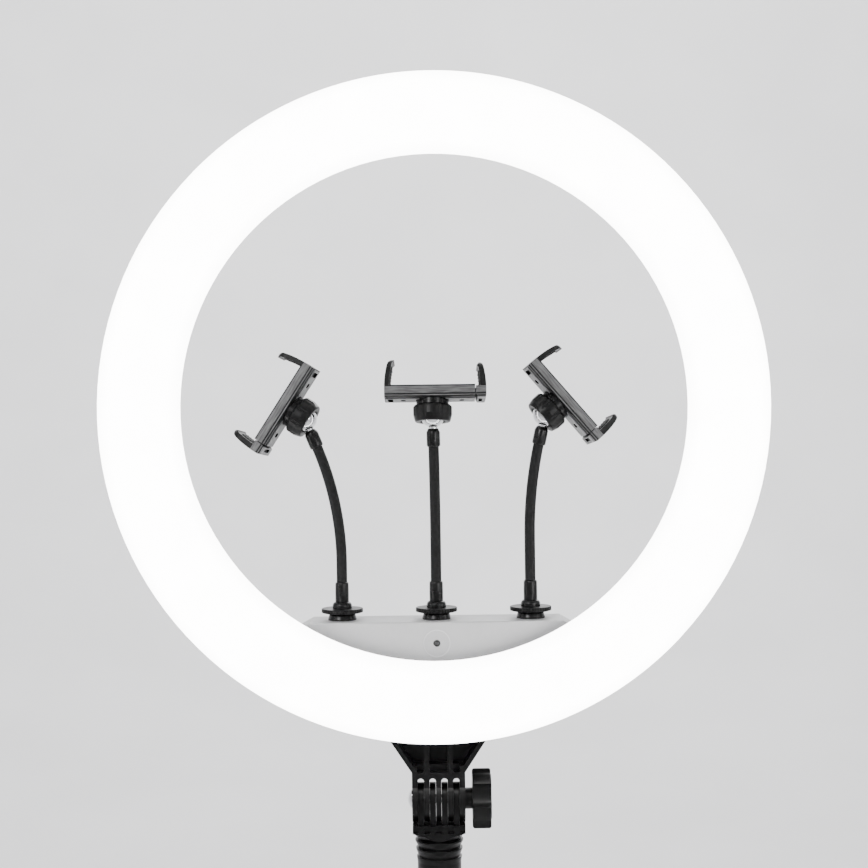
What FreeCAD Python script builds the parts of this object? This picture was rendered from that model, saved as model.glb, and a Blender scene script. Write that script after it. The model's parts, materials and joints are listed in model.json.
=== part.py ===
import FreeCAD, Part

import math
import os

import Sketcher
from FreeCAD import Placement, Rotation, Vector

# An 18 inch ring light for a lighting stand, with three phone holders on flexible necks.
# Frame: millimetres, +Z up, the light shines towards -Y, +X is to the right as seen from the front.
# The origin is the centre of the mouth of the stand socket.

SIZES = [
    # the lit ring
    ("ring_height", 362.5, "ring centre above the socket mouth"),
    ("ring_outer", 228.5, "outer radius of the diffuser"),
    ("ring_inner", 172.7, "inner radius of the diffuser"),
    ("ring_front", 36.0, "front face ahead of the stand's axis"),
    ("ring_back", 12.0, "back face ahead of the stand's axis"),
    ("skirt", 9.0, "depth of the diffuser's skirt"),
    ("edge_round", 5.0, "outside rounding of the diffuser"),
    ("diffuser_wall", 2.0, "diffuser thickness"),
    ("wall", 2.4, "moulded wall thickness"),
    ("back_taper", 6.0, "how much each side of the ring narrows to the back"),
    ("lip", 3.0, "height of the lip inside the skirt"),
    ("lip_wall", 1.5, "thickness of that lip"),
    ("vent_radius", 200.0, "middle of the vent slots"),
    ("vent_half", 8.0, "half the straight length of a vent slot"),
    ("vent_round", 1.25, "half the width of a vent slot"),
    ("boss_radius", 3.2, "radius of a board boss"),
    ("boss_height", 6.2, "height of the bosses inside the ring"),
    ("boss_circle", 200.6, "circle of the board bosses"),
    ("mount_boss", 4.2, "radius of a mounting boss"),
    ("mount_hole", 2.0, "radius of a mounting screw's hole"),
    ("board_inner", 184.0, "inner radius of the light boards"),
    ("board_outer", 217.0, "outer radius of the light boards"),
    ("board_thick", 1.6, "thickness of every circuit board"),
    ("chip_side", 3.5, "side of a light chip"),
    ("chip_thick", 0.9, "thickness of a light chip"),
    ("chip_row_inner", 191.5, "radius of the inner row of chips"),
    ("chip_row_outer", 209.5, "radius of the outer row of chips"),
    # the control box behind the foot of the ring
    ("box_half", 108.0, "half the width of the control box"),
    ("box_flat", 87.4, "half the width of the box's flat top"),
    ("box_shoulder", 202.5, "height where the box's sloping corners end"),
    ("box_top", 214.5, "top of the control box"),
    ("box_bottom", 170.0, "underside of the control box"),
    ("box_corner", 8.0, "corner radius of the control box"),
    ("box_rear", 27.0, "rear face of the cover, behind the stand's axis"),
    ("sensor_height", 199.6, "height of the remote sensor"),
    ("sensor_radius", 2.4, "radius of the remote sensor's lens"),
    ("dish_radius", 9.6, "radius of the dish around the sensor"),
    ("dish_depth", 0.7, "depth of that dish"),
    ("post_x", 99.0, "cover screw posts from the middle"),
    ("post_low", 179.0, "height of the lower posts"),
    ("post_high", 197.0, "height of the upper posts"),
    ("post_radius", 4.0, "radius of a cover screw post"),
    ("pilot", 1.4, "radius of the pilot holes for small screws"),
    ("panel_height", 192.0, "height of the row of controls"),
    ("screen_half", 23.0, "half the width of the display window"),
    ("screen_tall", 10.0, "half the height of the display window"),
    ("button_radius", 4.8, "radius of a push-button"),
    ("button_gap", 0.2, "gap round a push-button"),
    ("button_proud", 1.6, "how far a push-button stands out"),
    ("jack_x", -78.0, "power inlet from the middle"),
    ("usb_x", 76.0, "charging sockets from the middle"),
    # the tilting joint under the ring
    ("pivot_height", 90.0, "tilt axis above the socket mouth"),
    ("knuckle", 15.6, "radius of the yoke's fins"),
    ("knuckle_half", 18.4, "half the width over the fins"),
    ("fin_pitch", 8.2, "spacing of the fins"),
    ("slot_half", 2.25, "half the width of a slot between fins"),
    ("slot_top", 104.3, "height where a slot's round end begins"),
    ("web_low", 104.0, "underside of the yoke's web"),
    ("flare_low", 110.5, "height where the yoke starts to widen"),
    ("flare_high", 140.0, "height where it stops"),
    ("yoke_half", 38.0, "half the width of the yoke's flange"),
    ("yoke_top", 169.7, "top of the yoke's flange"),
    ("yoke_rear", 10.0, "rear face of the yoke's web"),
    ("flange_thick", 8.0, "thickness of the yoke's flange"),
    ("rib_inner", 6.35, "inner side of a yoke rib"),
    ("rib_outer", 10.1, "outer side of a yoke rib"),
    ("pocket_low", 110.5, "bottom of the yoke's front pockets"),
    ("pocket_depth", 17.0, "depth of the yoke's front pockets"),
    ("ledge", 4.6, "height of the ledge at the foot of each pocket"),
    ("ledge_depth", 7.0, "depth of the pockets at that ledge"),
    ("bolt", 3.0, "radius of the tilt bolt"),
    ("bolt_fit", 0.05, "running clearance round the bolt"),
    ("bolt_end", 34.0, "end of the tilt bolt"),
    ("bolt_head", 6.4, "radius of the bolt's domed head"),
    ("bolt_dome", 3.1, "height of that head"),
    # the adapter that drops over a stand's spigot
    ("socket_bore", 8.1, "radius of the stand socket"),
    ("socket_depth", 45.0, "depth of the stand socket"),
    ("socket_outer", 15.2, "outside radius of the socket"),
    ("fin_thick", 4.2, "thickness of the adapter's fins"),
    ("fin_radius", 11.4, "radius of the adapter's fins"),
    ("shoulder", 74.2, "top of the adapter's body"),
    ("flat_x", 18.2, "side flats of the adapter's shoulder"),
    ("flat_y", 15.4, "front and rear flats of that shoulder"),
    ("lock_height", 22.0, "height of the socket's lock screw"),
    ("lock_boss", 8.0, "radius of the lock screw's boss"),
    ("lock_face", 20.0, "outer face of that boss"),
    ("insert_outer", 4.6, "outside radius of the brass inserts"),
    # the phone holders
    ("holder_pitch", 66.0, "spacing of the phone holders"),
    ("holder_y", 7.0, "holders behind the stand's axis"),
    ("foot_radius", 10.0, "radius of a neck's foot"),
    ("foot_height", 4.8, "height of the foot under its lock ring"),
    ("ring_thick", 3.2, "thickness of the lock ring"),
    ("ring_radius", 14.5, "radius of the lock ring"),
    ("core", 5.0, "radius of the foot's core"),
    ("collar", 6.8, "radius of the foot's collar"),
    ("collar_top", 12.4, "top of the foot's collar"),
    ("stem", 3.9, "radius of the foot's threaded stem"),
    ("tube", 3.7, "radius of the flexible neck"),
    ("tube_gap", 0.15, "gap at each bend of the neck's core"),
    ("ferrule", 4.8, "radius of the neck's end ferrules"),
    ("ferrule_low", 26.4, "top of the lower ferrule above the box"),
    ("ferrule_long", 12.8, "length of the upper ferrule"),
    ("ferrule_tip", 3.6, "radius at the upper ferrule's tip"),
    ("ferrule_cone", 2.6, "length of that ferrule's cone"),
    ("ball", 8.5, "radius of the ball"),
    ("ball_gap", 8.9, "ball centre to the ferrule's tip"),
    ("ball_fit", 0.05, "clearance of the ball in its cup"),
    ("clamp_half", 13.0, "half the width of a phone clamp"),
    ("clamp_low", 11.6, "underside of the clamp's bed above the ball"),
    ("clamp_face", 20.3, "face of the clamp's bed above the ball"),
    ("spigot", 5.0, "radius of the socket's spigot in the clamp's bed"),
    ("spigot_long", 3.8, "how far that spigot goes into the bed"),
    ("clamp_left", 33.6, "fixed end of the clamp from the ball"),
    ("clamp_right", 29.8, "open end of the clamp's bed"),
    ("cover_low", 10.8, "underside of the clamp's back cover"),
    ("cover_half", 7.6, "half the width of that cover"),
    ("fixed_arm", 18.6, "height of the fixed arm above the clamp's face"),
    ("jaw_step", 1.0, "how far the jaw's block stops below the clamp's face"),
    ("jaw_arm", 17.2, "height of the jaw's arm above its block"),
    ("jaw_gap", 0.6, "gap between the bed and the sliding jaw"),
    ("jaw_end", 37.6, "outer end of the sliding jaw"),
    ("rail_in", 5.75, "inner side of a jaw rail"),
    ("rail_out", 9.25, "outer side of a jaw rail"),
    ("rail_low", 14.15, "underside of a jaw rail"),
    ("rail_high", 17.85, "top of a jaw rail"),
    ("rail_fit", 0.15, "clearance round a jaw rail"),
    ("rail_long", 47.0, "length of a jaw rail"),
    ("spring_height", 17.4, "axis of the clamp's spring above the ball"),
]

# side, foot position in pitches, bend of the neck towards -X, height where it starts to bend
# above the box, length of the bend, tilt of the clamp towards -X, turn about its own axis
HOLDERS = [
    ("left", -1, 22.5, 39.1, 84.0, 57.0, 180.0),
    ("centre", 0, 1.0, 49.3, 71.2, 0.0, 0.0),
    ("right", 1, -12.5, 57.7, 64.0, -49.3, 0.0),
]
CLAMP_LEAN = -9.0  # the clamps lean back about their own jaw direction, in degrees

CHIP_STEP = 3.75  # degrees from one light chip to the next
BOARD_COUNT = 4
BOARD_ARC = 89.4  # degrees
SCREWS_PER_BOARD = 3
BOSS_ANGLE = math.radians(180 / (BOARD_COUNT * SCREWS_PER_BOARD))
BOSS_COS, BOSS_SIN = math.cos(BOSS_ANGLE), math.sin(BOSS_ANGLE)
VENT_START, VENT_ARC, VENT_COUNT = -30, 240, 25  # the vents leave out the ring's foot
YOKE_SCREWS = [(26.0, 151.5), (26.0, 163.5)]  # distance from the middle, height
BOX_SCREWS = [(30.0, 178.0), (78.0, 186.5)]
BUTTONS = [("power", -55.0), ("mode", -38.0), ("plus", 38.0), ("minus", 55.0)]
USB_HEIGHTS = [185.5, 198.5]

doc = FreeCAD.newDocument("ring_light")
sheet = doc.addObject("Spreadsheet::Sheet", "Sizes")
parts = []


class Size:
    """A length with the spreadsheet expression that gives it."""

    def __init__(self, value, text):
        self.value = float(value)
        self.text = text

    def __add__(self, other):
        other = size(other)
        return Size(self.value + other.value, f"({self.text} + {other.text})")

    def __sub__(self, other):
        other = size(other)
        return Size(self.value - other.value, f"({self.text} - {other.text})")

    def __mul__(self, factor):
        return Size(self.value * factor, f"({self.text} * {factor})")

    def __neg__(self):
        return Size(-self.value, f"(0 - {self.text})")

    __radd__ = __add__
    __rmul__ = __mul__

    def __rsub__(self, other):
        return size(other) - self


def size(value):
    return value if isinstance(value, Size) else Size(value, f"{float(value):.6f}")


class Sizes:
    """The spreadsheet's cells, as attributes."""


def fill_sheet():
    cells = Sizes()
    for row, (alias, value, note) in enumerate(SIZES, 1):
        sheet.set(f"A{row}", note)
        sheet.set(f"B{row}", str(value))
        sheet.setAlias(f"B{row}", alias)
        setattr(cells, alias, Size(value, f"Sizes.{alias}"))
    doc.recompute()
    return cells


D = fill_sheet()


# ---- features ----


def bind(thing, prop, value):
    """Sets a property from the spreadsheet."""
    value = size(value)
    thing.setExpression(prop, value.text)


def place(thing, x=0, y=0, z=0, rotation=None):
    """Puts a sub-part at a point given by cells, turned by a rotation."""
    x, y, z = size(x), size(y), size(z)
    thing.Placement = Placement(
        Vector(x.value, y.value, z.value), rotation or Rotation()
    )
    for name, value in (("x", x), ("y", y), ("z", z)):
        if value.value:
            bind(thing, f"Placement.Base.{name}", value)
    return thing


def keep(thing, label, placement=None):
    """Names a sub-part and lists it for export."""
    thing.Label = label
    if placement is not None:
        thing.Placement = placement
    parts.append(thing)
    return thing


def new_body(label):
    return doc.addObject("PartDesign::Body", label)


def origin(body, role):
    return next(f for f in body.Origin.OriginFeatures if f.Role == role)


def sketch(body, plane, offset=0, turn=0):
    """A sketch on one of the body's origin planes, moved along the plane's normal."""
    made = body.newObject("Sketcher::SketchObject", "Sketch")
    made.AttachmentSupport = [(origin(body, plane), "")]
    made.MapMode = "FlatFace"
    offset = size(offset)
    made.AttachmentOffset = Placement(
        Vector(0, 0, offset.value), Rotation(Vector(0, 0, 1), turn)
    )
    if offset.value:
        bind(made, "AttachmentOffset.Base.z", offset)
    return made


def pin_point(made, geometry, vertex, point):
    """Fixes a sketch vertex at a point given by cells."""
    for kind, axis, value in (
        ("DistanceX", -2, size(point[0])),
        ("DistanceY", -1, size(point[1])),
    ):
        if abs(value.value) < 1e-9:
            made.addConstraint(
                Sketcher.Constraint("PointOnObject", geometry, vertex, axis)
            )
        else:
            index = made.addConstraint(
                Sketcher.Constraint(kind, -1, 1, geometry, vertex, value.value)
            )
            bind(made, f"Constraints[{index}]", value)


def pin_middle(made, geometry, point, upright):
    """Fixes the centre of a half circle on the line through its ends."""
    value = size(point[0] if upright else point[1])
    kind, axis = ("DistanceX", -2) if upright else ("DistanceY", -1)
    if abs(value.value) < 1e-9:
        made.addConstraint(Sketcher.Constraint("PointOnObject", geometry, 3, axis))
    else:
        index = made.addConstraint(
            Sketcher.Constraint(kind, -1, 1, geometry, 3, value.value)
        )
        bind(made, f"Constraints[{index}]", value)


def arc_between(start, end, radius):
    """The arc from start to end, and its start and end vertices. A positive radius turns left."""
    half = (end - start) * 0.5
    side = Vector(-half.y, half.x, 0).normalize()
    reach = math.sqrt(max(radius**2 - half.Length**2, 0))
    centre = start + half + side * math.copysign(reach, radius)
    first, last = (start, end) if radius > 0 else (end, start)
    angles = [math.atan2(p.y - centre.y, p.x - centre.x) for p in (first, last)]
    if angles[1] < angles[0]:
        angles[1] += 2 * math.pi
    circle = Part.Circle(centre, Vector(0, 0, 1), abs(radius))
    ends = (1, 2) if radius > 0 else (2, 1)
    return Part.ArcOfCircle(circle, *angles), *ends


def cap_radius(half, rise):
    """The radius of a shallow dome from half its width and its rise."""
    return (half**2 + rise**2) / (2 * rise)


def outline(made, points):
    """A closed outline. A point is (u, v), or (u, v, radius) where an arc arrives at it."""
    spots = [Vector(size(p[0]).value, size(p[1]).value, 0) for p in points]
    runs = []
    for i, start in enumerate(spots):
        after = (i + 1) % len(points)
        if len(points[after]) == 3:
            radius = size(points[after][2])
            shape, first, last = arc_between(start, spots[after], radius.value)
            index = made.addGeometry(shape, False)
            across = spots[after] - start
            if across.Length > abs(radius.value) * 1.9999:
                pin_middle(made, index, points[i], abs(across.x) < abs(across.y))
            elif abs(shape.Center.x) < 1e-3:
                made.addConstraint(Sketcher.Constraint("PointOnObject", index, 3, -2))
            else:
                at = made.addConstraint(
                    Sketcher.Constraint("Radius", index, abs(radius.value))
                )
                rule = radius if radius.value > 0 else -radius
                bind(made, f"Constraints[{at}]", rule)
        else:
            index = made.addGeometry(Part.LineSegment(start, spots[after]), False)
            first, last = 1, 2
        runs.append((index, first, last))
    for i, (index, first, last) in enumerate(runs):
        after = runs[(i + 1) % len(runs)]
        made.addConstraint(
            Sketcher.Constraint("Coincident", index, last, after[0], after[1])
        )
        pin_point(made, index, first, points[i])
    return made


def circle(made, u, v, radius):
    u, v, radius = size(u), size(v), size(radius)
    index = made.addGeometry(
        Part.Circle(Vector(u.value, v.value, 0), Vector(0, 0, 1), radius.value), False
    )
    at = made.addConstraint(Sketcher.Constraint("Radius", index, radius.value))
    bind(made, f"Constraints[{at}]", radius)
    pin_point(made, index, 3, (u, v))
    return made


def rectangle(made, left, low, right, high):
    return outline(made, [(left, low), (right, low), (right, high), (left, high)])


def feature(body, kind, made, length, symmetric, backwards):
    made_feature = body.newObject(f"PartDesign::{kind}", kind)
    made_feature.Profile = made
    if symmetric:
        made_feature.SideType = "Symmetric"
    bind(made_feature, "Length", length)
    made_feature.Reversed = backwards
    return made_feature


def pad(body, made, length, symmetric=False, backwards=False):
    added = feature(body, "Pad", made, length, symmetric, backwards)
    doc.recompute()
    return added


def pocket(body, made, length, symmetric=False, backwards=False):
    """Cuts against the sketch's normal, or along it if backwards, and checks that it cut."""
    before = body.Shape.Volume
    cut = feature(body, "Pocket", made, length, symmetric, backwards)
    doc.recompute()
    if body.Shape.Volume > before - 1e-3:
        raise RuntimeError(f"{body.Name}: {cut.Name} cuts nothing")
    return cut


def revolve(body, made, angle=360.0):
    turned = body.newObject("PartDesign::Revolution", "Revolution")
    turned.Profile = made
    turned.ReferenceAxis = (origin(body, "Z_Axis"), [""])
    turned.Angle = angle
    doc.recompute()
    return turned


def polar(body, features, count, angle=360.0):
    """Repeats features about the body's Z axis. A full turn shares out the circle."""
    pattern = body.newObject("PartDesign::PolarPattern", "PolarPattern")
    pattern.Originals = features
    pattern.Axis = (origin(body, "Z_Axis"), [""])
    pattern.Angle = angle
    pattern.Occurrences = count
    body.Tip = pattern
    doc.recompute()
    return pattern


def linear(body, features, count, length):
    """Repeats features along the body's X axis."""
    pattern = body.newObject("PartDesign::LinearPattern", "LinearPattern")
    pattern.Originals = features
    pattern.Direction = (origin(body, "X_Axis"), [""])
    bind(pattern, "Length", length)
    pattern.Occurrences = count
    body.Tip = pattern
    doc.recompute()
    return pattern


def round_edges(body, radius, chosen, kind="Fillet"):
    """Fillets or chamfers the edges of the body's last feature that the test chooses."""
    base = body.Tip
    names = [f"Edge{i}" for i, e in enumerate(base.Shape.Edges, 1) if chosen(e)]
    if not names:
        raise RuntimeError(f"{body.Name}: no edge to round")
    finished = body.newObject(f"PartDesign::{kind}", kind)
    finished.Base = (base, names)
    bind(finished, "Radius" if kind == "Fillet" else "Size", radius)
    doc.recompute()
    if "Invalid" in finished.State:
        raise RuntimeError(f"{body.Name}: {finished.Name} failed")
    return finished


def in_plane(axis, value):
    """A test for edges that lie wholly in a plane across an axis."""

    def test(edge):
        box = edge.BoundBox
        low, high = getattr(box, axis + "Min"), getattr(box, axis + "Max")
        return abs(low - value) < 1e-3 and abs(high - value) < 1e-3

    return test


def lathe(label, points):
    """A turned piece: the outline's first coordinate is the radius, its second is along Z."""
    body = new_body(label)
    revolve(body, outline(sketch(body, "XZ_Plane"), points))
    return body


def group(label, shapes):
    """Several separate solids in one sub-part."""
    thing = doc.addObject("Part::Feature", label)
    thing.Shape = Part.makeCompound(shapes)
    return keep(thing, label)


def copies(body, placements):
    return [body.Shape.transformGeometry(p.toMatrix()) for p in placements]


FRONTWARDS = Rotation(Vector(1, 0, 0), 90)  # local +Z to -Y
REARWARDS = Rotation(Vector(1, 0, 0), -90)  # local +Z to +Y
RIGHTWARDS = Rotation(Vector(0, 1, 0), 90)  # local +Z to +X


# ---- the lit ring: its own frame has the axis along +Z, towards the front ----


def diffuser():
    outer, inner, front = D.ring_outer, D.ring_inner, D.ring_front
    skirt, round_out, thin = front - D.skirt, D.edge_round, D.diffuser_wall
    round_in = round_out - thin
    body = lathe(
        "diffuser",
        [
            (outer, skirt),
            (outer, front - round_out),
            (outer - round_out, front, round_out),
            (inner + round_out, front),
            (inner, front - round_out, round_out),
            (inner, skirt),
            (inner + thin, skirt),
            (inner + thin, front - round_out),
            (inner + round_out, front - thin, -round_in),
            (outer - round_out, front - thin),
            (outer - thin, front - round_out, -round_in),
            (outer - thin, skirt),
        ],
    )
    return keep(place(body, z=D.ring_height, rotation=FRONTWARDS), "diffuser")


def boss(body, spots, radius, low, height):
    """Round bosses that stand on the inside of a back wall."""
    made = sketch(body, "XY_Plane", low)
    for u, v in spots:
        circle(made, u, v, radius)
    return pad(body, made, height)


def mount_spots(screws):
    """Mounting screw positions in the ring's own frame."""
    return [
        (side * x, size(height) - D.ring_height) for x, height in screws for side in (-1, 1)
    ]


def back_housing():
    outer, inner, back = D.ring_outer, D.ring_inner, D.ring_back
    rim = D.ring_front - D.skirt
    step = D.diffuser_wall + 0.15
    floor = back + D.wall
    body = lathe(
        "back_housing",
        [
            (outer, rim),
            (outer - D.back_taper, back),
            (inner + D.back_taper, back),
            (inner, rim),
            (inner + step, rim),
            (inner + step, rim + D.lip),
            (inner + step + D.lip_wall, rim + D.lip),
            (inner + step + D.lip_wall, rim - D.lip),
            (inner + D.back_taper + D.wall, floor),
            (outer - D.back_taper - D.wall, floor),
            (outer - step - D.lip_wall, rim - D.lip),
            (outer - step - D.lip_wall, rim + D.lip),
            (outer - step, rim + D.lip),
            (outer - step, rim),
        ],
    )
    round_edges(body, 3.0, in_plane("Z", D.ring_back.value))
    first_boss = (D.boss_circle * BOSS_COS, D.boss_circle * BOSS_SIN)
    ring_of_bosses = boss(body, [first_boss], D.boss_radius, floor, D.boss_height)
    polar(body, [ring_of_bosses], BOARD_COUNT * SCREWS_PER_BOARD)
    spots = mount_spots(YOKE_SCREWS + BOX_SCREWS)
    boss(body, spots, D.mount_boss, floor, D.boss_height)
    holes = sketch(body, "XY_Plane", floor + D.boss_height)
    for u, v in spots:
        circle(holes, u, v, D.mount_hole)
    pocket(body, holes, 20)
    pilot = sketch(body, "XY_Plane", floor + D.boss_height)
    circle(pilot, *first_boss, D.pilot)
    polar(body, [pocket(body, pilot, D.boss_height)], BOARD_COUNT * SCREWS_PER_BOARD)
    slot = sketch(body, "XY_Plane", back, turn=VENT_START)
    near, far, half = D.vent_radius - D.vent_half, D.vent_radius + D.vent_half, D.vent_round
    outline(slot, [(far, -half), (far, half, half), (near, half), (near, -half, half)])
    vents = pocket(body, slot, D.wall * 2, symmetric=True)
    polar(body, [vents], VENT_COUNT, VENT_ARC)
    return keep(place(body, z=D.ring_height, rotation=FRONTWARDS), "back_housing")


def ring_frame(angle=0.0):
    """The ring's frame, turned about its own axis."""
    centre = Vector(0, 0, D.ring_height.value)
    return Placement(centre, FRONTWARDS.multiply(Rotation(Vector(0, 0, 1), angle)))


def light_boards():
    low = D.ring_back + D.wall + D.boss_height
    high = low + D.board_thick
    board = new_body("board_arc")
    made = rectangle(sketch(board, "XZ_Plane"), D.board_inner, low, D.board_outer, high)
    revolve(board, made, BOARD_ARC)
    hole = sketch(board, "XY_Plane", high)
    circle(hole, D.boss_circle * BOSS_COS, D.boss_circle * BOSS_SIN, 1.7)
    polar(board, [pocket(board, hole, D.board_thick)], SCREWS_PER_BOARD, 60)
    return group(
        "led_boards",
        copies(board, [ring_frame(90.0 * n) for n in range(BOARD_COUNT)]),
    )


def light_chips(label, first):
    """Every second chip of both rows, from the first one."""
    top = (D.ring_back + D.wall + D.boss_height + D.board_thick).value
    side = D.chip_side.value
    chips = []
    for row, radius in enumerate((D.chip_row_inner.value, D.chip_row_outer.value)):
        for n in range((first + row) % 2, round(360 / CHIP_STEP), 2):
            chip = Part.makeBox(side, side, D.chip_thick.value)
            chip.translate(Vector(radius - side / 2, -side / 2, top))
            chip.Placement = ring_frame((n + 0.5) * CHIP_STEP).multiply(chip.Placement)
            chips.append(chip)
    return group(label, chips)


def screw(label, shank, length, head, head_height):
    """A pan-head screw with its head's underside at Z 0 and its shank along +Z."""
    return lathe(
        label,
        [
            (0, -head_height),
            (head - 0.8, -head_height),
            (head, 0.8 - head_height, 0.8),
            (head, 0),
            (shank, 0),
            (shank, length - shank),
            (0, length),
        ],
    )


def board_screws():
    top = D.ring_back + D.wall + D.boss_height + D.board_thick
    made = screw("board_screw", D.pilot - 0.05, 6.5, size(2.6), 1.4)
    flip = Placement(
        Vector(D.boss_circle.value, 0, top.value), Rotation(Vector(1, 0, 0), 180)
    )
    step = 360 / (BOARD_COUNT * SCREWS_PER_BOARD)
    turns = [
        ring_frame(step * (n + 0.5)) for n in range(BOARD_COUNT * SCREWS_PER_BOARD)
    ]
    return group("board_screws", copies(made, [t.multiply(flip) for t in turns]))


def mount_screws():
    """Screws that hold the yoke and the control box to the back of the ring."""
    made = screw("mount_screw", D.mount_hole - 0.05, 10.2, size(3.8), 2.6)
    seat = (D.wall - D.ring_back).value
    spots = [
        Placement(Vector(side * x, seat, height), FRONTWARDS)
        for x, height in YOKE_SCREWS + BOX_SCREWS
        for side in (-1, 1)
    ]
    return group("mount_screws", copies(made, spots))


# ---- the control box ----


def box_outline(made, inset=0.0):
    """The box seen from the front: a flat top, sloping shoulders and rounded lower corners."""
    slope = math.atan2((D.box_top - D.box_shoulder).value, (D.box_half - D.box_flat).value)
    inset = size(inset)
    side, low, top = D.box_half - inset, D.box_bottom + inset, D.box_top - inset
    flat = D.box_flat - inset * math.tan(slope / 2)
    shoulder = D.box_shoulder - inset * math.tan(math.pi / 4 - slope / 2)
    corner = D.box_corner - inset
    return outline(
        made,
        [
            (side, low + corner, corner),
            (side, shoulder),
            (flat, top),
            (-flat, top),
            (-side, shoulder),
            (-side, low + corner),
            (corner - side, low, corner),
            (side - corner, low),
        ],
    )


def control_box():
    body = new_body("control_box")
    open_face = D.box_rear - D.wall
    pad(body, box_outline(sketch(body, "XZ_Plane", -open_face)), open_face + D.ring_back)
    round_edges(body, 1.2, in_plane("Y", -D.ring_back.value))
    inside = open_face + D.ring_back - D.wall
    hollow = box_outline(sketch(body, "XZ_Plane", -open_face), D.wall)
    pocket(body, hollow, inside, backwards=True)
    posts = sketch(body, "XZ_Plane", -open_face)
    for x in (-D.post_x, D.post_x):
        for height in (D.post_low, D.post_high):
            circle(posts, x, height, D.post_radius)
    pad(body, posts, inside + 0.5)
    pilots = sketch(body, "XZ_Plane", -open_face)
    for x in (-D.post_x, D.post_x):
        for height in (D.post_low, D.post_high):
            circle(pilots, x, height, D.pilot)
    pocket(body, pilots, 14, backwards=True)
    bushes = sketch(body, "XY_Plane", D.box_top - 0.5)
    stems = sketch(body, "XY_Plane", D.box_top)
    for n in (-1, 0, 1):
        circle(bushes, D.holder_pitch * n, D.holder_y, D.stem + 3.6)
        circle(stems, D.holder_pitch * n, D.holder_y, D.stem + 0.1)
    pad(body, bushes, 8, backwards=True)
    pocket(body, stems, 9)
    holes = sketch(body, "XZ_Plane", -open_face)
    for x, height in BOX_SCREWS:
        for side in (-1, 1):
            circle(holes, side * x, height, D.mount_hole + 0.1)
    circle(holes, 0, D.sensor_height, D.sensor_radius + 0.1)
    pocket(body, holes, 60, backwards=True)
    dish = sketch(body, "XZ_Plane", D.ring_back)
    pocket(body, circle(dish, 0, D.sensor_height, D.dish_radius), D.dish_depth)
    return keep(body, "control_box")


def box_cover():
    body = new_body("box_cover")
    open_face = D.box_rear - D.wall
    pad(body, box_outline(sketch(body, "XZ_Plane", -D.box_rear)), D.wall)
    round_edges(body, 1.0, in_plane("Y", D.box_rear.value))
    cuts = sketch(body, "XZ_Plane", -D.box_rear)
    gap = D.button_gap
    high, low = D.panel_height + D.screen_tall + gap, D.panel_height - D.screen_tall - gap
    rectangle(cuts, -D.screen_half - gap, low, D.screen_half + gap, high)
    for name, x in BUTTONS:
        circle(cuts, x, D.panel_height, D.button_radius + gap)
    circle(cuts, D.jack_x, D.panel_height, 4.2)
    for height in USB_HEIGHTS:
        rectangle(cuts, D.usb_x - 6.7, height - 3.1, D.usb_x + 6.7, height + 3.1)
    pocket(body, cuts, D.wall, backwards=True)
    screws = sketch(body, "XZ_Plane", -open_face)
    seats = sketch(body, "XZ_Plane", -D.box_rear)
    for x in (-D.post_x, D.post_x):
        for height in (D.post_low, D.post_high):
            circle(screws, x, height, D.pilot + 0.2)
            circle(seats, x, height, 3.0)
    pocket(body, screws, D.wall)
    pocket(body, seats, 1.4, backwards=True)
    return keep(body, "box_cover")


def cover_screws():
    made = screw("cover_screw", D.pilot - 0.05, 9.0, size(2.7), 1.2)
    seat = (D.box_rear - 1.4).value
    spots = [
        Placement(Vector(side * D.post_x.value, seat, height.value), FRONTWARDS)
        for side in (-1, 1)
        for height in (D.post_low, D.post_high)
    ]
    return group("cover_screws", copies(made, spots))


def sensor():
    """The remote control's sensor lens: a dome in the front wall, with a flange behind it."""
    radius = D.sensor_radius
    body = lathe(
        "ir_window",
        [
            (0, 0),
            (radius + 1.2, 0),
            (radius + 1.2, 1.5),
            (radius, 1.5),
            (radius, 1.5 + D.wall - 1.2),
            (0, 1.5 + D.wall + 0.4, cap_radius(2.4, 1.6)),
        ],
    )
    place(body, y=D.wall - D.ring_back + 1.5, z=D.sensor_height, rotation=FRONTWARDS)
    return keep(body, "ir_window")


def display_window():
    body = new_body("display_window")
    inner_face = D.box_rear - D.wall
    flange = sketch(body, "XZ_Plane", 1.2 - inner_face)
    high, low = D.panel_height + D.screen_tall, D.panel_height - D.screen_tall
    rectangle(flange, -D.screen_half - 2, low - 1.6, D.screen_half + 2, high + 1.6)
    pad(body, flange, 1.2, backwards=True)
    pane = sketch(body, "XZ_Plane", -inner_face)
    rectangle(pane, -D.screen_half, low, D.screen_half, high)
    pad(body, pane, D.wall - 0.3, backwards=True)
    return keep(body, "display_window")


def control_board():
    """The circuit board behind the cover, with what is soldered to it."""
    body = new_body("control_board")
    face = 15.6
    plate = sketch(body, "XZ_Plane", -face)
    pad(body, rectangle(plate, -70, 176, 66, 204.5), D.board_thick)
    switches = sketch(body, "XZ_Plane", -face)
    for name, x in BUTTONS:
        rectangle(switches, x - 3, D.panel_height - 3, x + 3, D.panel_height + 3)
    pad(body, switches, 5.4, backwards=True)
    screen = sketch(body, "XZ_Plane", -face)
    rectangle(screen, -21, D.panel_height - 8.5, 21, D.panel_height + 8.5)
    pad(body, screen, 7.2, backwards=True)
    chips = sketch(body, "XZ_Plane", D.board_thick - face)
    for left, width in ((-24, 9), (-8, 6), (10, 12)):
        rectangle(chips, left, 183, left + width, 189)
    pad(body, chips, 2.2)
    coils = sketch(body, "XZ_Plane", D.board_thick - face)
    for x in (-50, -38, 34, 48):
        circle(coils, x, 186, 5)
    pad(body, coils, 9)
    return keep(body, "control_board")


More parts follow.
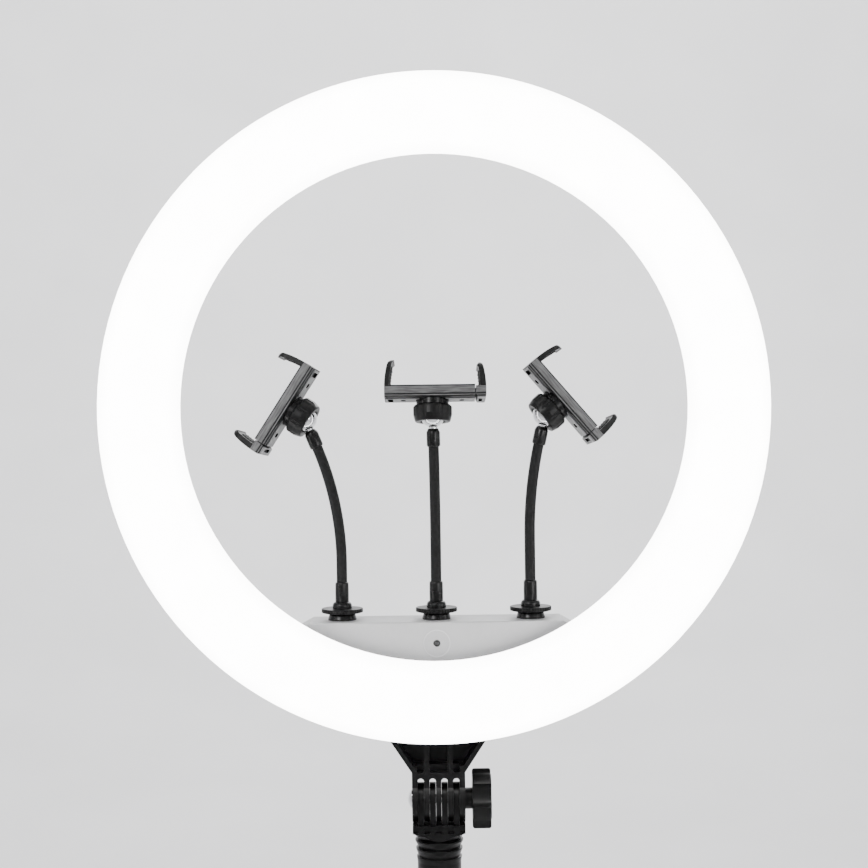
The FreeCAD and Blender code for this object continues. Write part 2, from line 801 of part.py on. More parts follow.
def power_inlet():
    """A barrel socket with its centre pin, open to the rear."""
    body = new_body("dc_jack")
    face = D.box_rear - D.wall
    x, height = D.jack_x, D.panel_height
    block = rectangle(sketch(body, "XZ_Plane", -face), x - 4.6, height - 5.5, x + 4.6, height + 5.5)
    pad(body, block, 13)
    pad(body, circle(sketch(body, "XZ_Plane", -face), x, height, 4.0), D.wall, backwards=True)
    mouth = circle(sketch(body, "XZ_Plane", -D.box_rear), x, height, 2.8)
    pocket(body, mouth, 11, backwards=True)
    pin = circle(sketch(body, "XZ_Plane", 9.5 - face), x, height, 0.95)
    pad(body, pin, 9, backwards=True)
    return keep(body, "dc_jack")


def charging_sockets():
    shells = []
    for n, height in enumerate(USB_HEIGHTS):
        body = new_body(f"usb_shell_{n}")
        x = D.usb_x
        shell = sketch(body, "XZ_Plane", -D.box_rear + 0.2)
        pad(body, rectangle(shell, x - 6.5, height - 2.9, x + 6.5, height + 2.9), 13)
        mouth = sketch(body, "XZ_Plane", -D.box_rear + 0.2)
        rectangle(mouth, x - 6.1, height - 2.5, x + 6.1, height + 2.5)
        pocket(body, mouth, 11, backwards=True)
        tongue = sketch(body, "XZ_Plane", 11.4 - D.box_rear)
        rectangle(tongue, x - 5.6, height + 0.2, x + 5.6, height + 2.0)
        pad(body, tongue, 9.4, backwards=True)
        shells.append(body.Shape)
    return group("usb_sockets", shells)


def button(name, x):
    """A push-button cap with a flange behind the cover."""
    face = D.wall + D.button_proud
    body = lathe(
        f"{name}_button",
        [
            (0, -2.2),
            (D.button_radius + 1.2, -2.2),
            (D.button_radius + 1.2, -0.2),
            (D.button_radius, -0.2),
            (D.button_radius, face - 0.8),
            (D.button_radius - 0.8, face, 0.8),
            (0, face - 0.3, -cap_radius(4.0, 0.3)),
        ],
    )
    place(body, x=x, y=D.box_rear - D.wall, z=D.panel_height, rotation=REARWARDS)
    return keep(body, f"{name}_button")


# ---- the tilting joint ----


def tilt_yoke():
    """The finned bracket that carries the ring."""
    body = new_body("tilt_yoke")
    half, wide = D.knuckle_half, D.yoke_half
    web = sketch(body, "XZ_Plane", -D.yoke_rear)
    outline(
        web,
        [
            (-half, D.web_low),
            (half, D.web_low),
            (half, D.flare_low),
            (wide, D.flare_high),
            (-wide, D.flare_high),
            (-half, D.flare_low),
        ],
    )
    pad(body, web, D.yoke_rear + D.ring_back)
    flange = sketch(body, "XZ_Plane", D.ring_back - D.flange_thick)
    rectangle(flange, -wide, D.flare_high - 0.5, wide, D.yoke_top)
    pad(body, flange, D.flange_thick)
    knuckle = sketch(body, "YZ_Plane")
    pad(body, circle(knuckle, 0, D.pivot_height, D.knuckle), half * 2, symmetric=True)
    stalk = sketch(body, "YZ_Plane")
    rectangle(stalk, -D.ring_back, D.pivot_height, D.yoke_rear, D.web_low + 0.5)
    pad(body, stalk, half * 2, symmetric=True)
    slot = sketch(body, "XZ_Plane")
    left, right = D.fin_pitch * -1.5 - D.slot_half, D.fin_pitch * -1.5 + D.slot_half
    low = D.pivot_height - 20
    outline(slot, [(left, low), (right, low), (right, D.slot_top), (left, D.slot_top, D.slot_half)])
    linear(body, [pocket(body, slot, 60, symmetric=True)], 4, D.fin_pitch * 3)
    pockets = sketch(body, "XZ_Plane", D.ring_back)
    rim, floor = D.flare_high - 2, D.pocket_low + D.ledge
    rectangle(pockets, -D.rib_inner, floor, D.rib_inner, rim)
    wide_low, wide_high = 17.6, 31.5
    for side in (-1, 1):
        corners = [
            (D.rib_outer * side, floor),
            (size(wide_low * side), floor),
            (size(wide_high * side), rim - 1.5),
            (size(wide_high * side), rim),
            (D.rib_outer * side, rim),
        ]
        outline(pockets, corners if side > 0 else corners[::-1])
    pocket(body, pockets, D.pocket_depth)
    ledges = sketch(body, "XZ_Plane", D.ring_back)
    top, turn = floor + 0.5, 1.6
    for left, right in ((-D.rib_inner, D.rib_inner), (D.rib_outer, 15.0), (-15.0, -D.rib_outer)):
        left, right = size(left), size(right)
        outline(
            ledges,
            [
                (left + turn, D.pocket_low, turn),
                (right - turn, D.pocket_low),
                (right, D.pocket_low + turn, turn),
                (right, top),
                (left, top),
                (left, D.pocket_low + turn),
            ],
        )
    pocket(body, ledges, D.ledge_depth)
    bore = circle(sketch(body, "YZ_Plane"), 0, D.pivot_height, D.bolt + D.bolt_fit)
    pocket(body, bore, 60, symmetric=True)
    holes = sketch(body, "XZ_Plane", D.ring_back)
    seats = sketch(body, "XZ_Plane", D.ring_back - D.wall)
    for x, height in YOKE_SCREWS:
        for side in (-1, 1):
            circle(holes, side * x, height, D.mount_hole + 0.1)
            circle(seats, side * x, height, 4.6)
    pocket(body, holes, 30)
    pocket(body, seats, 30)
    return keep(body, "tilt_yoke")


def stand_adapter():
    """The lower half of the knuckle, with the socket for the stand's spigot."""
    body = new_body("stand_adapter")
    outer = D.socket_outer
    points = [(0, 0), (outer - 1.5, 0), (outer, 1.5, 1.5), (outer, 47.0)]
    for grow, height in ((0.5, 50.7), (1.0, 56.6), (1.5, 62.2)):
        points.append((outer + grow, height - 0.8))
        points.append((outer + grow, height))
        points.append((outer - 0.6, height + 0.5))
    points += [(outer + 2.6, 66.6), (outer + 8.0, 69.0), (outer + 8.0, D.shoulder), (0, D.shoulder)]
    revolve(body, outline(sketch(body, "XZ_Plane"), points))
    for plane, flat in (("YZ_Plane", D.flat_x), ("XZ_Plane", D.flat_y)):
        for side in (1, -1):
            face = sketch(body, plane, flat * side)
            pocket(body, rectangle(face, -40, 48.5, 40, 80), 12, backwards=side > 0)
    fin = sketch(body, "YZ_Plane", D.fin_pitch * -1.5)
    reach = D.fin_radius
    low, pivot = D.shoulder - 8, D.pivot_height
    outline(fin, [(-reach, low), (reach, low), (reach, pivot), (-reach, pivot, reach)])
    linear(body, [pad(body, fin, D.fin_thick, symmetric=True)], 4, D.fin_pitch * 3)
    bore = circle(sketch(body, "YZ_Plane"), 0, D.pivot_height, D.bolt + D.bolt_fit + 0.03)
    pocket(body, bore, 60, symmetric=True)
    for side in (1, -1):
        groove = sketch(body, "XZ_Plane", D.flat_y * side)
        left = D.fin_pitch * -2 - D.slot_half + 0.15
        rectangle(groove, left, D.shoulder - 5.0, left + D.slot_half * 2 - 0.3, D.shoulder + 1)
        linear(body, [pocket(body, groove, 2.6, backwards=side < 0)], 5, D.fin_pitch * 4)
    lug = sketch(body, "XZ_Plane", -D.lock_face)
    pad(body, circle(lug, 0, D.lock_height, D.lock_boss), D.lock_face - D.socket_bore - 2)
    round_edges(body, 1.0, in_plane("Y", D.lock_face.value))
    socket = circle(sketch(body, "XY_Plane"), 0, 0, D.socket_bore)
    pocket(body, socket, D.socket_depth, backwards=True)
    seat = circle(sketch(body, "XZ_Plane", -D.lock_face), 0, D.lock_height, D.insert_outer)
    pocket(body, seat, 9, backwards=True)
    through = circle(sketch(body, "XZ_Plane", -D.lock_face), 0, D.lock_height, D.bolt + 0.1)
    pocket(body, through, D.lock_face - 1, backwards=True)
    return keep(body, "stand_adapter")


def sleeve(label, inner, outer, length):
    return lathe(label, [(inner, 0), (outer, 0), (outer, length), (inner, length)])


def star_knob(label, hub, hub_long, reach, thick, bore_long):
    """A five-lobed knob on a hub. Its axis is +Z and its hub starts at Z 0."""
    body = lathe(
        label,
        [
            (0, 0),
            (hub, 0),
            (hub, hub_long),
            (reach - 1.6, hub_long),
            (reach, hub_long + 1.6, 1.6),
            (reach, hub_long + thick - 1.6),
            (reach - 1.6, hub_long + thick, 1.6),
            (hub, hub_long + thick),
            (hub - 1.0, hub_long + thick - 0.8),
            (0, hub_long + thick - 0.8),
        ],
    )
    scallop = sketch(body, "XY_Plane", hub_long - 0.01)
    spread = reach * 1.14
    circle(scallop, spread * math.cos(math.radians(36)), spread * math.sin(math.radians(36)), reach * 0.44)
    polar(body, [pocket(body, scallop, thick + 0.02, backwards=True)], 5)
    seat = circle(sketch(body, "XY_Plane"), 0, 0, D.insert_outer)
    pocket(body, seat, bore_long, backwards=True)
    return body


def tilt_fastening():
    """The carriage bolt through the knuckle, and the knob that tightens it."""
    dome = D.bolt_dome
    bolt = lathe(
        "tilt_bolt",
        [
            (0, 0),
            (D.bolt_head, dome - 0.6, cap_radius(6.3, 2.5)),
            (D.bolt_head, dome),
            (D.bolt, dome),
            (D.bolt, dome + D.knuckle_half + D.bolt_end - 0.8),
            (D.bolt - 0.8, dome + D.knuckle_half + D.bolt_end),
            (0, dome + D.knuckle_half + D.bolt_end),
        ],
    )
    place(bolt, x=-D.knuckle_half - dome, z=D.pivot_height, rotation=RIGHTWARDS)
    keep(bolt, "tilt_bolt")
    knob = star_knob("tilt_knob", size(7.3), 4.9, size(20.6), 13.0, D.bolt_end - D.knuckle_half + 0.6)
    place(knob, x=D.knuckle_half + 0.1, z=D.pivot_height, rotation=RIGHTWARDS)
    keep(knob, "tilt_knob")
    insert = sleeve("tilt_knob_insert", D.bolt + D.bolt_fit, D.insert_outer, 12)
    place(insert, x=D.knuckle_half + 0.1, z=D.pivot_height, rotation=RIGHTWARDS)
    keep(insert, "tilt_knob_insert")


def socket_fastening():
    """The lock screw of the stand socket, its knob and its brass insert."""
    insert = sleeve("adapter_insert", D.bolt + D.bolt_fit, D.insert_outer, 9)
    place(insert, y=D.lock_face - 9, z=D.lock_height, rotation=REARWARDS)
    keep(insert, "adapter_insert")
    tip = D.socket_bore + 0.5
    stud = lathe(
        "socket_screw",
        [
            (0, 0),
            (D.bolt - 0.6, 0),
            (D.bolt, 0.6),
            (D.bolt, D.lock_face + 1.5 - tip),
            (D.insert_outer, D.lock_face + 1.5 - tip),
            (D.insert_outer, D.lock_face + 12 - tip),
            (0, D.lock_face + 12 - tip),
        ],
    )
    keep(place(stud, y=tip, z=D.lock_height, rotation=REARWARDS), "socket_screw")
    knob = star_knob("socket_knob", size(7.0), 5.0, size(16.5), 10.0, size(10.5))
    place(knob, y=D.lock_face + 1.5, z=D.lock_height, rotation=REARWARDS)
    keep(knob, "socket_knob")


# ---- a phone holder ----


class Neck:
    """Where a neck bends and ends. The bend is an arc in the XZ plane that starts upright."""

    def __init__(self, place_in_row, bend, start, length):
        self.bend = bend
        self.radius = length / math.radians(abs(bend))
        self.side = -1 if bend > 0 else 1
        self.foot = Vector(D.holder_pitch.value * place_in_row, D.holder_y.value, D.box_top.value)
        self.start = self.foot + Vector(0, 0, start)

    def along(self, share):
        """The point and the frame at a share of the bend."""
        angle = math.radians(abs(self.bend)) * share
        point = self.start + Vector(
            self.side * self.radius * (1 - math.cos(angle)), 0, self.radius * math.sin(angle)
        )
        return Placement(point, Rotation(Vector(0, 1, 0), self.side * math.degrees(angle)))

    def beyond(self, distance):
        """The frame at a distance past the end of the bend."""
        return self.along(1).multiply(Placement(Vector(0, 0, distance), Rotation()))


def primitive(kind, placement, **values):
    made = doc.addObject(f"Part::{kind}", kind)
    for name, value in values.items():
        if isinstance(value, Size):
            bind(made, name, value)
        else:
            setattr(made, name, value)
    made.Placement = placement
    return made


def fused(label, shapes):
    union = doc.addObject("Part::MultiFuse", label)
    union.Shapes = shapes
    doc.recompute()
    return keep(union, label)


def bent_tube(neck, first, last, trim=0.0):
    """The stretch of a neck between two shares of its bend, less a trim at its end."""
    last = last - math.degrees(trim / neck.radius) / abs(neck.bend)
    start = neck.along(first)
    out = Vector(-neck.side, 0, 0)
    turn = Rotation(out, Vector(0, 0, 1), Vector(0, neck.side, 0))
    frame = Placement(neck.start - out * neck.radius, turn)
    sweep = abs(neck.bend) * (last - first)
    spin = Placement(Vector(), Rotation(Vector(0, 0, 1), abs(neck.bend) * first))
    return primitive(
        "Torus", frame.multiply(spin), Radius1=neck.radius, Radius2=D.tube, Angle3=sweep
    ), start


def neck_parts(side, neck, start):
    """The neck's core in three lengths, with a round end at each of its two bends."""
    foot = Placement(neck.foot, Rotation())
    up = Placement(neck.foot + Vector(0, 0, D.collar_top.value), Rotation())
    ferrule = primitive("Cylinder", up, Radius=D.ferrule, Height=D.ferrule_low - D.collar_top)
    above = Placement(neck.foot + Vector(0, 0, D.ferrule_low.value), Rotation())
    gap = D.tube + D.tube_gap
    tube = primitive("Cylinder", above, Radius=D.tube, Height=start - D.ferrule_low - gap)
    fused(f"neck_lower_{side}", [ferrule, tube])
    middle, frame = bent_tube(neck, 0.0, 0.5, gap.value)
    round_end = primitive("Sphere", frame, Radius=D.tube, Angle1=-90, Angle2=0)
    fused(f"neck_middle_{side}", [round_end, middle])
    upper, frame = bent_tube(neck, 0.5, 1.0)
    round_end = primitive("Sphere", frame, Radius=D.tube, Angle1=-90, Angle2=0)
    sleeve_long = D.ferrule_long - D.ferrule_cone
    barrel = primitive("Cylinder", neck.along(1), Radius=D.ferrule, Height=sleeve_long)
    cone_foot = neck.beyond(sleeve_long.value)
    radii = {"Radius1": D.ferrule, "Radius2": D.ferrule_tip}
    cone = primitive("Cone", cone_foot, Height=D.ferrule_cone, **radii)
    whole = doc.addObject("Part::MultiFuse", "neck_top")
    whole.Shapes = [round_end, upper, barrel, cone]
    stem_hole = primitive(
        "Cylinder", neck.beyond(D.ferrule_long.value - 8), Radius=2.45, Height=9
    )
    drilled = doc.addObject("Part::Cut", f"neck_upper_{side}")
    drilled.Base, drilled.Tool = whole, stem_hole
    doc.recompute()
    keep(drilled, f"neck_upper_{side}")
    return foot


def neck_foot(side, frame):
    """The foot that screws into the box: a spool with a collar, so that its lock ring is captive."""
    ring_low, ring_high = D.foot_height, D.foot_height + D.ring_thick + 0.1
    body = lathe(
        f"neck_foot_{side}",
        [
            (0, -8),
            (D.stem, -8),
            (D.stem, 0),
            (D.foot_radius, 0),
            (D.foot_radius, 1.0),
            (D.foot_radius - 0.8, 3.6),
            (D.foot_radius - 2.2, ring_low),
            (D.core, ring_low),
            (D.core, ring_high),
            (D.collar, ring_high),
            (D.collar, D.collar_top - 2.6),
            (D.ferrule + 0.4, D.collar_top, 2.9),
            (0, D.collar_top),
        ],
    )
    return keep(body, f"neck_foot_{side}", frame)


def lock_ring(side, frame):
    """The knurled ring under the collar."""
    low = D.foot_height + 0.05
    body = lathe(
        f"lock_ring_{side}",
        [
            (D.core + 0.05, low),
            (D.ring_radius - 1.6, low),
            (D.ring_radius, low + 0.5),
            (D.ring_radius, low + D.ring_thick - 0.3),
            (D.ring_radius - 0.4, low + D.ring_thick),
            (D.core + 0.05, low + D.ring_thick),
        ],
    )
    notch = circle(sketch(body, "XY_Plane", low - 0.1), D.ring_radius + 0.1, 0, 0.65)
    polar(body, [pocket(body, notch, D.ring_thick + 0.2, backwards=True)], 44)
    return keep(body, f"lock_ring_{side}", frame)


def ball_stud(side, frame):
    ball, tip = D.ball, -D.ball_gap
    neck_radius = 3.0
    shoulder = -math.sqrt(D.ball.value**2 - neck_radius**2)
    body = lathe(
        f"ball_stud_{side}",
        [
            (0, tip - 7.5),
            (2.4, tip - 7.5),
            (2.4, tip),
            (neck_radius, tip),
            (neck_radius, shoulder),
            (0, ball, ball),
        ],
    )
    return keep(body, f"ball_stud_{side}", frame)


def ball_nut(side, frame):
    """The ribbed nut that closes the socket's fingers on the ball."""
    body = lathe(
        f"ball_nut_{side}",
        [
            (8.7, -3.9),
            (9.4, -4.4),
            (12.0, -4.4),
            (12.5, -3.9),
            (13.7, 0.6),
            (13.7, 5.9),
            (12.7, 7.2),
            (11.05, 7.2),
            (11.05, -1.0),
        ],
    )
    flutes, reach = 8, 14.3
    first = math.pi / flutes
    flute = sketch(body, "XY_Plane", -4.7)
    circle(flute, reach * math.cos(first), reach * math.sin(first), 1.3)
    polar(body, [pocket(body, flute, 12.2, backwards=True)], flutes)
    return keep(body, f"ball_nut_{side}", frame)


def clamp_socket(side, frame):
    """The cup that grips the ball, slotted into four fingers, on the boss behind the clamp."""
    cavity = D.ball + D.ball_fit
    lip = -3.2
    rim = math.sqrt(cavity.value**2 - lip**2)
    body = lathe(
        f"clamp_socket_{side}",
        [
            (0, cavity),
            (rim, lip, -cavity),
            (9.0, lip),
            (11.0, -0.9),
            (11.0, 7.4),
            (11.4, 7.8),
            (11.4, D.clamp_low - 0.2),
            (D.spigot, D.clamp_low - 0.2),
            (D.spigot, D.clamp_low + D.spigot_long),
            (0, D.clamp_low + D.spigot_long),
        ],
    )
    slot = sketch(body, "XZ_Plane")
    rectangle(slot, -0.8, lip - 1, 0.8, 4.6)
    polar(body, [pocket(body, slot, 30, symmetric=True)], 2, 90)
    return keep(body, f"clamp_socket_{side}", frame)


def clamp_body(side, frame):
    """The bed of the clamp with its fixed arm, back cover and rail channels."""
    body = new_body(f"clamp_body_{side}")
    left, right, low, face = -D.clamp_left, D.clamp_right, D.clamp_low, D.clamp_face
    top = face + D.fixed_arm
    bed = rectangle(sketch(body, "XZ_Plane"), left, low, right, face)
    pad(body, bed, D.clamp_half * 2, symmetric=True)
    round_edges(body, 1.2, along_x(D.clamp_half.value))
    arm = sketch(body, "XZ_Plane")
    outline(
        arm,
        [
            (left, low + 2),
            (left + 3.3, low + 2),
            (left + 3.3, face),
            (left + 5.4, top - 3.4, -70),
            (left + 7.2, top - 1.4, -3.0),
            (left + 7.0, top),
            (left + 2.4, top - 2.8, 5.5),
            (left, face, 62),
        ],
    )
    pad(body, arm, D.clamp_half * 2 - 1, symmetric=True)
    trim_arm(body, left - 1, left + 12, top)
    cover = sketch(body, "XZ_Plane")
    rectangle(cover, left + 0.8, D.cover_low, right, low + 0.3)
    pad(body, cover, D.cover_half * 2, symmetric=True)
    for side_face in (1, -1):
        line = sketch(body, "XZ_Plane", D.clamp_half * side_face)
        rectangle(line, left + 7.6, low + 1.8, right, low + 2.4)
        pocket(body, line, 0.6, backwards=side_face < 0)
    channels = sketch(body, "YZ_Plane", right)
    for way in (-1, 1):
        sides = sorted(
            [D.rail_in * way - D.rail_fit * way, D.rail_out * way + D.rail_fit * way],
            key=lambda s: s.value,
        )
        rectangle(channels, sides[0], D.rail_low - D.rail_fit, sides[1], D.rail_high + D.rail_fit)
    rectangle(channels, -2.0, D.spring_height - 1.6, 2.0, D.spring_height + 1.6)
    pocket(body, channels, D.clamp_right + 26)
    hole = circle(sketch(body, "XY_Plane"), 0, 0, 11.8)
    pocket(body, hole, D.clamp_low - 0.1, backwards=True)
    spigot = circle(sketch(body, "XY_Plane"), 0, 0, D.spigot + 0.05)
    pocket(body, spigot, low + D.spigot_long + 0.1, backwards=True)
    recesses = sketch(body, "XY_Plane", D.cover_low)
    wide, long = 1.75, 1.1
    for x in (-20.5, 20.5):
        oval = [(x + wide, -long, wide), (x + wide, long), (x - wide, long, wide), (x - wide, -long)]
        outline(recesses, oval)
    rectangle(recesses, left + 2.5, -6.4, left + 6.0, 6.4)
    pocket(body, recesses, 1.6, backwards=True)
    return keep(body, f"clamp_body_{side}", frame)


def along_x(half):
    """A test for the long edges of a clamp's two sides."""

    def test(edge):
        box = edge.BoundBox
        flat = abs(box.YMax - box.YMin) < 1e-3 and abs(box.ZMax - box.ZMin) < 1e-3
        return flat and abs(abs(box.YMax) - half) < 1e-3

    return test


def trim_arm(body, start, end, top):
    """Rounds the two upper corners of an arm, as seen along the jaw's travel."""
    corner, half = 8.0, D.clamp_half
    right = [
        (half + 1, top - corner),
        (half + 1, top + 1),
        (half - corner, top + 1),
        (half - corner, top),
        (half, top - corner, -corner),
    ]
    left = [
        (-half - 1, top + 1),
        (-half - 1, top - corner),
        (-half, top - corner),
        (corner - half, top, -corner),
        (corner - half, top + 1),
    ]
    for points in (right, left):
        made = outline(sketch(body, "YZ_Plane", start), points)
        pocket(body, made, end - start, backwards=True)


def clamp_jaw(side, frame):
    """The sliding jaw: a block and arm on two rails."""
    body = new_body(f"clamp_jaw_{side}")
    inner, outer = D.clamp_right + D.jaw_gap, D.jaw_end
    low, face = D.cover_low, D.clamp_face - D.jaw_step
    top = face + D.jaw_arm
    block = sketch(body, "XZ_Plane")
    outline(
        block,
        [
            (inner, low + 2),
            (inner + 1.2, low),
            (outer - 0.8, low),
            (outer, low + 2),
            (outer, face),
            (inner, face),
        ],
    )
    pad(body, block, D.clamp_half * 2, symmetric=True)
    round_edges(body, 1.2, along_x(D.clamp_half.value))
    arm = sketch(body, "XZ_Plane")
    outline(
        arm,
        [
            (outer - 4.2, low + 4),
            (outer, low + 4),
            (outer, face),
            (outer - 2.2, top - 2.2, 62),
            (outer - 4.8, top, 3.4),
            (outer - 6.5, top - 2.8),
            (outer - 5.3, top - 4.6, -2.6),
            (outer - 4.2, face, -70),
        ],
    )
    pad(body, arm, D.clamp_half * 2 - 1, symmetric=True)
    trim_arm(body, outer - 11, outer + 1, top)
    rails = sketch(body, "YZ_Plane", inner + 2)
    for way in (-1, 1):
        sides = sorted([D.rail_in * way, D.rail_out * way], key=lambda s: s.value)
        rectangle(rails, sides[0], D.rail_low, sides[1], D.rail_high)
    pad(body, rails, D.rail_long + 2, backwards=True)
    recess = sketch(body, "XY_Plane", low)
    rectangle(recess, inner + 1.9, -6.4, inner + 4.4, 6.4)
    pocket(body, recess, 1.4, backwards=True)
    return keep(body, f"clamp_jaw_{side}", frame)


def clamp_spring(side, frame):
    """The coil spring that pulls the jaw in."""
    coil_radius, wire, pitch = 1.2, 0.3, 1.3
    length = 52.0
    helix = Part.makeHelix(pitch, length, coil_radius)
    ring = Part.Wire(Part.Circle(Vector(coil_radius, 0, 0), Vector(0, 1, 0), wire).toShape())
    coil = Part.Wire(helix).makePipeShell([ring], True, True)
    thing = doc.addObject("Part::Feature", f"clamp_spring_{side}")
    thing.Shape = coil
    along = Placement(Vector(-24.5, 0, D.spring_height.value), RIGHTWARDS)
    return keep(thing, f"clamp_spring_{side}", frame.multiply(along))


def holder(side, place_in_row, bend, start, length, tilt, turn):
    neck = Neck(place_in_row, bend, start, length)
    foot = neck_parts(side, neck, start)
    neck_foot(side, foot)
    lock_ring(side, foot)
    ball_frame = neck.beyond((D.ferrule_long + D.ball_gap).value)
    ball_stud(side, ball_frame)
    lean = Rotation(Vector(0, 1, 0), -tilt).multiply(Rotation(Vector(1, 0, 0), CLAMP_LEAN))
    clamp_frame = Placement(ball_frame.Base, lean.multiply(Rotation(Vector(0, 0, 1), turn)))
    for build in (ball_nut, clamp_socket, clamp_body, clamp_jaw, clamp_spring):
        build(side, clamp_frame)


# ---- everything ----


def build():
    diffuser()
    back_housing()
    light_boards()
    light_chips("leds_warm", 0)
    light_chips("leds_cool", 1)
    board_screws()
    mount_screws()
    control_box()
    box_cover()
    cover_screws()
    sensor()
    display_window()
    control_board()
    power_inlet()
    charging_sockets()
    for name, x in BUTTONS:
        button(name, x)
    tilt_yoke()
    stand_adapter()
    tilt_fastening()
    socket_fastening()
    for row in HOLDERS:
        holder(*row)


def check():
    """Stops if any object failed or any sub-part's shape isn't sound."""
    doc.recompute()
    for thing in doc.Objects:
        if "Invalid" in thing.State or "Error" in thing.State:
            raise RuntimeError(f"{thing.Name} ({thing.Label}) failed: {thing.State}")
    for thing in parts:
        if thing.Shape.isNull() or not thing.Shape.isValid():
            raise RuntimeError(f"{thing.Label}: its shape is not valid")


def export():
    os.makedirs("parts", exist_ok=True)
    for thing in parts:
        thing.Shape.exportStep(os.path.join("parts", f"{thing.Label}.step"))
        solids, volume = len(thing.Shape.Solids), thing.Shape.Volume
        print(f"{thing.Label}: {solids} solids, {volume:.0f} mm3")


build()
check()
export()
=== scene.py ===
import json
import math

import bpy
from mathutils import Matrix, Vector


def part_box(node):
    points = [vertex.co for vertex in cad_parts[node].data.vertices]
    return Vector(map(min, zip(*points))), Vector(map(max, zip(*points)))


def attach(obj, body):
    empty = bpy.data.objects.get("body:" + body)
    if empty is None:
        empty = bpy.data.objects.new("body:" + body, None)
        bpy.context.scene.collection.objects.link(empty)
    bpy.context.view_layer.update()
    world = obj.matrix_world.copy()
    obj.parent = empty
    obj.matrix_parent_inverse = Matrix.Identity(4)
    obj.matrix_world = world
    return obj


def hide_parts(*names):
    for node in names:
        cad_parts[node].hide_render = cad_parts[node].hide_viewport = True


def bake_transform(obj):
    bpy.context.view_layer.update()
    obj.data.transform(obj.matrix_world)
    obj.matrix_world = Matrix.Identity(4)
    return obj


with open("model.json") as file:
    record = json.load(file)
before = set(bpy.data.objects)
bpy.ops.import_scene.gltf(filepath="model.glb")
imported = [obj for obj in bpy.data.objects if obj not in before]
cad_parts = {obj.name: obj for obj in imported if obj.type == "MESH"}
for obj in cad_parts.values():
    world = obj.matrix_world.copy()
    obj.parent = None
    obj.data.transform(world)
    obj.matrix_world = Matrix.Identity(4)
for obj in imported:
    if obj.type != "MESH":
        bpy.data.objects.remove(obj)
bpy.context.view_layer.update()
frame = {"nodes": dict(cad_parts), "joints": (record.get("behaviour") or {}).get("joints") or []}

# A ring light with three phone holders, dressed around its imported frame.
# Metres, +Z up, the light shines towards -Y, +X is to the right as seen from the front.

MM = 0.001
SIDES = ("left", "centre", "right")
NODES = frame["nodes"]
JOINTS = {j["name"]: j for j in frame["joints"]}

RING_LOW, RING_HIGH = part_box("diffuser")
RING_CENTRE = Vector(((RING_LOW.x + RING_HIGH.x) / 2, RING_LOW.y, (RING_LOW.z + RING_HIGH.z) / 2))
RING_OUTER = (RING_HIGH.x - RING_LOW.x) / 2
RING_INNER = 172.7 * MM
BOX_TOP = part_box("control_box")[1].z


# ---- how the holders run ----


class Neck:
    """A neck's centreline: upright, then an arc, as its joints say."""

    def __init__(self, side):
        sway, nod = JOINTS[f"neck_sway_{side}"], JOINTS[f"neck_nod_{side}"]
        self.first = Vector(sway["pos_m"])
        step = Vector(nod["pos_m"]) - self.first
        self.way = 1 if step.x > 0 else -1
        self.bend = 4 * math.atan2(abs(step.x), step.z)
        self.radius = step.z / math.sin(self.bend / 2)
        self.foot = Vector((self.first.x, self.first.y, BOX_TOP))

    def on_arc(self, angle, beyond=0.0):
        """Centre and the two cross directions at an angle of the arc, or past its end."""
        turn = Matrix.Rotation(self.way * angle, 3, "Y")
        sideways, rise = self.radius * (1 - math.cos(angle)), self.radius * math.sin(angle)
        centre = self.first + Vector((self.way * sideways, 0, rise))
        tangent = turn @ Vector((0, 0, 1))
        return centre + tangent * beyond, turn @ Vector((1, 0, 0)), Vector((0, 1, 0))

    def upright(self, height):
        """The same at a height above the box, below the arc."""
        return self.foot + Vector((0, 0, height)), Vector((1, 0, 0)), Vector((0, 1, 0))


class Clamp:
    """A phone clamp's own directions, as its joints say: up to the phone, along the travel, across."""

    def __init__(self, side):
        self.ball = Vector(JOINTS[f"ball_swivel_{side}"]["pos_m"])
        self.up = Vector(JOINTS[f"clamp_spin_{side}"]["axis"])
        self.along = Vector(JOINTS[f"jaw_slide_{side}"]["axis"])
        self.across = self.up.cross(self.along)


# ---- camera, light and stage ----

VIEW_DISTANCE = 1.119  # from the ring's front face
VIEW_WIDTH = 0.586  # what the picture spans across at that face
VIEW_ROLL = math.radians(0.7)
WALL = 7.0  # radius of the backdrop's wall


def add_camera():
    data = bpy.data.cameras.new("camera")
    data.sensor_width = 36.0
    data.lens = data.sensor_width * VIEW_DISTANCE / VIEW_WIDTH
    data.shift_y = -0.0307
    data.clip_end = 100
    camera = bpy.data.objects.new("camera", data)
    bpy.context.scene.collection.objects.link(camera)
    camera.location = (0, RING_CENTRE.y - VIEW_DISTANCE, RING_CENTRE.z)
    camera.rotation_euler = (math.radians(90), VIEW_ROLL, 0)
    bpy.context.scene.camera = camera


def add_light(name, place, size, power, aim=RING_CENTRE):
    data = bpy.data.lights.new(name, "AREA")
    data.shape = "DISK"
    data.size = size
    data.energy = power
    light = bpy.data.objects.new(name, data)
    bpy.context.scene.collection.objects.link(light)
    light.location = place
    light.rotation_euler = (Vector(aim) - light.location).to_track_quat("-Z", "Y").to_euler()


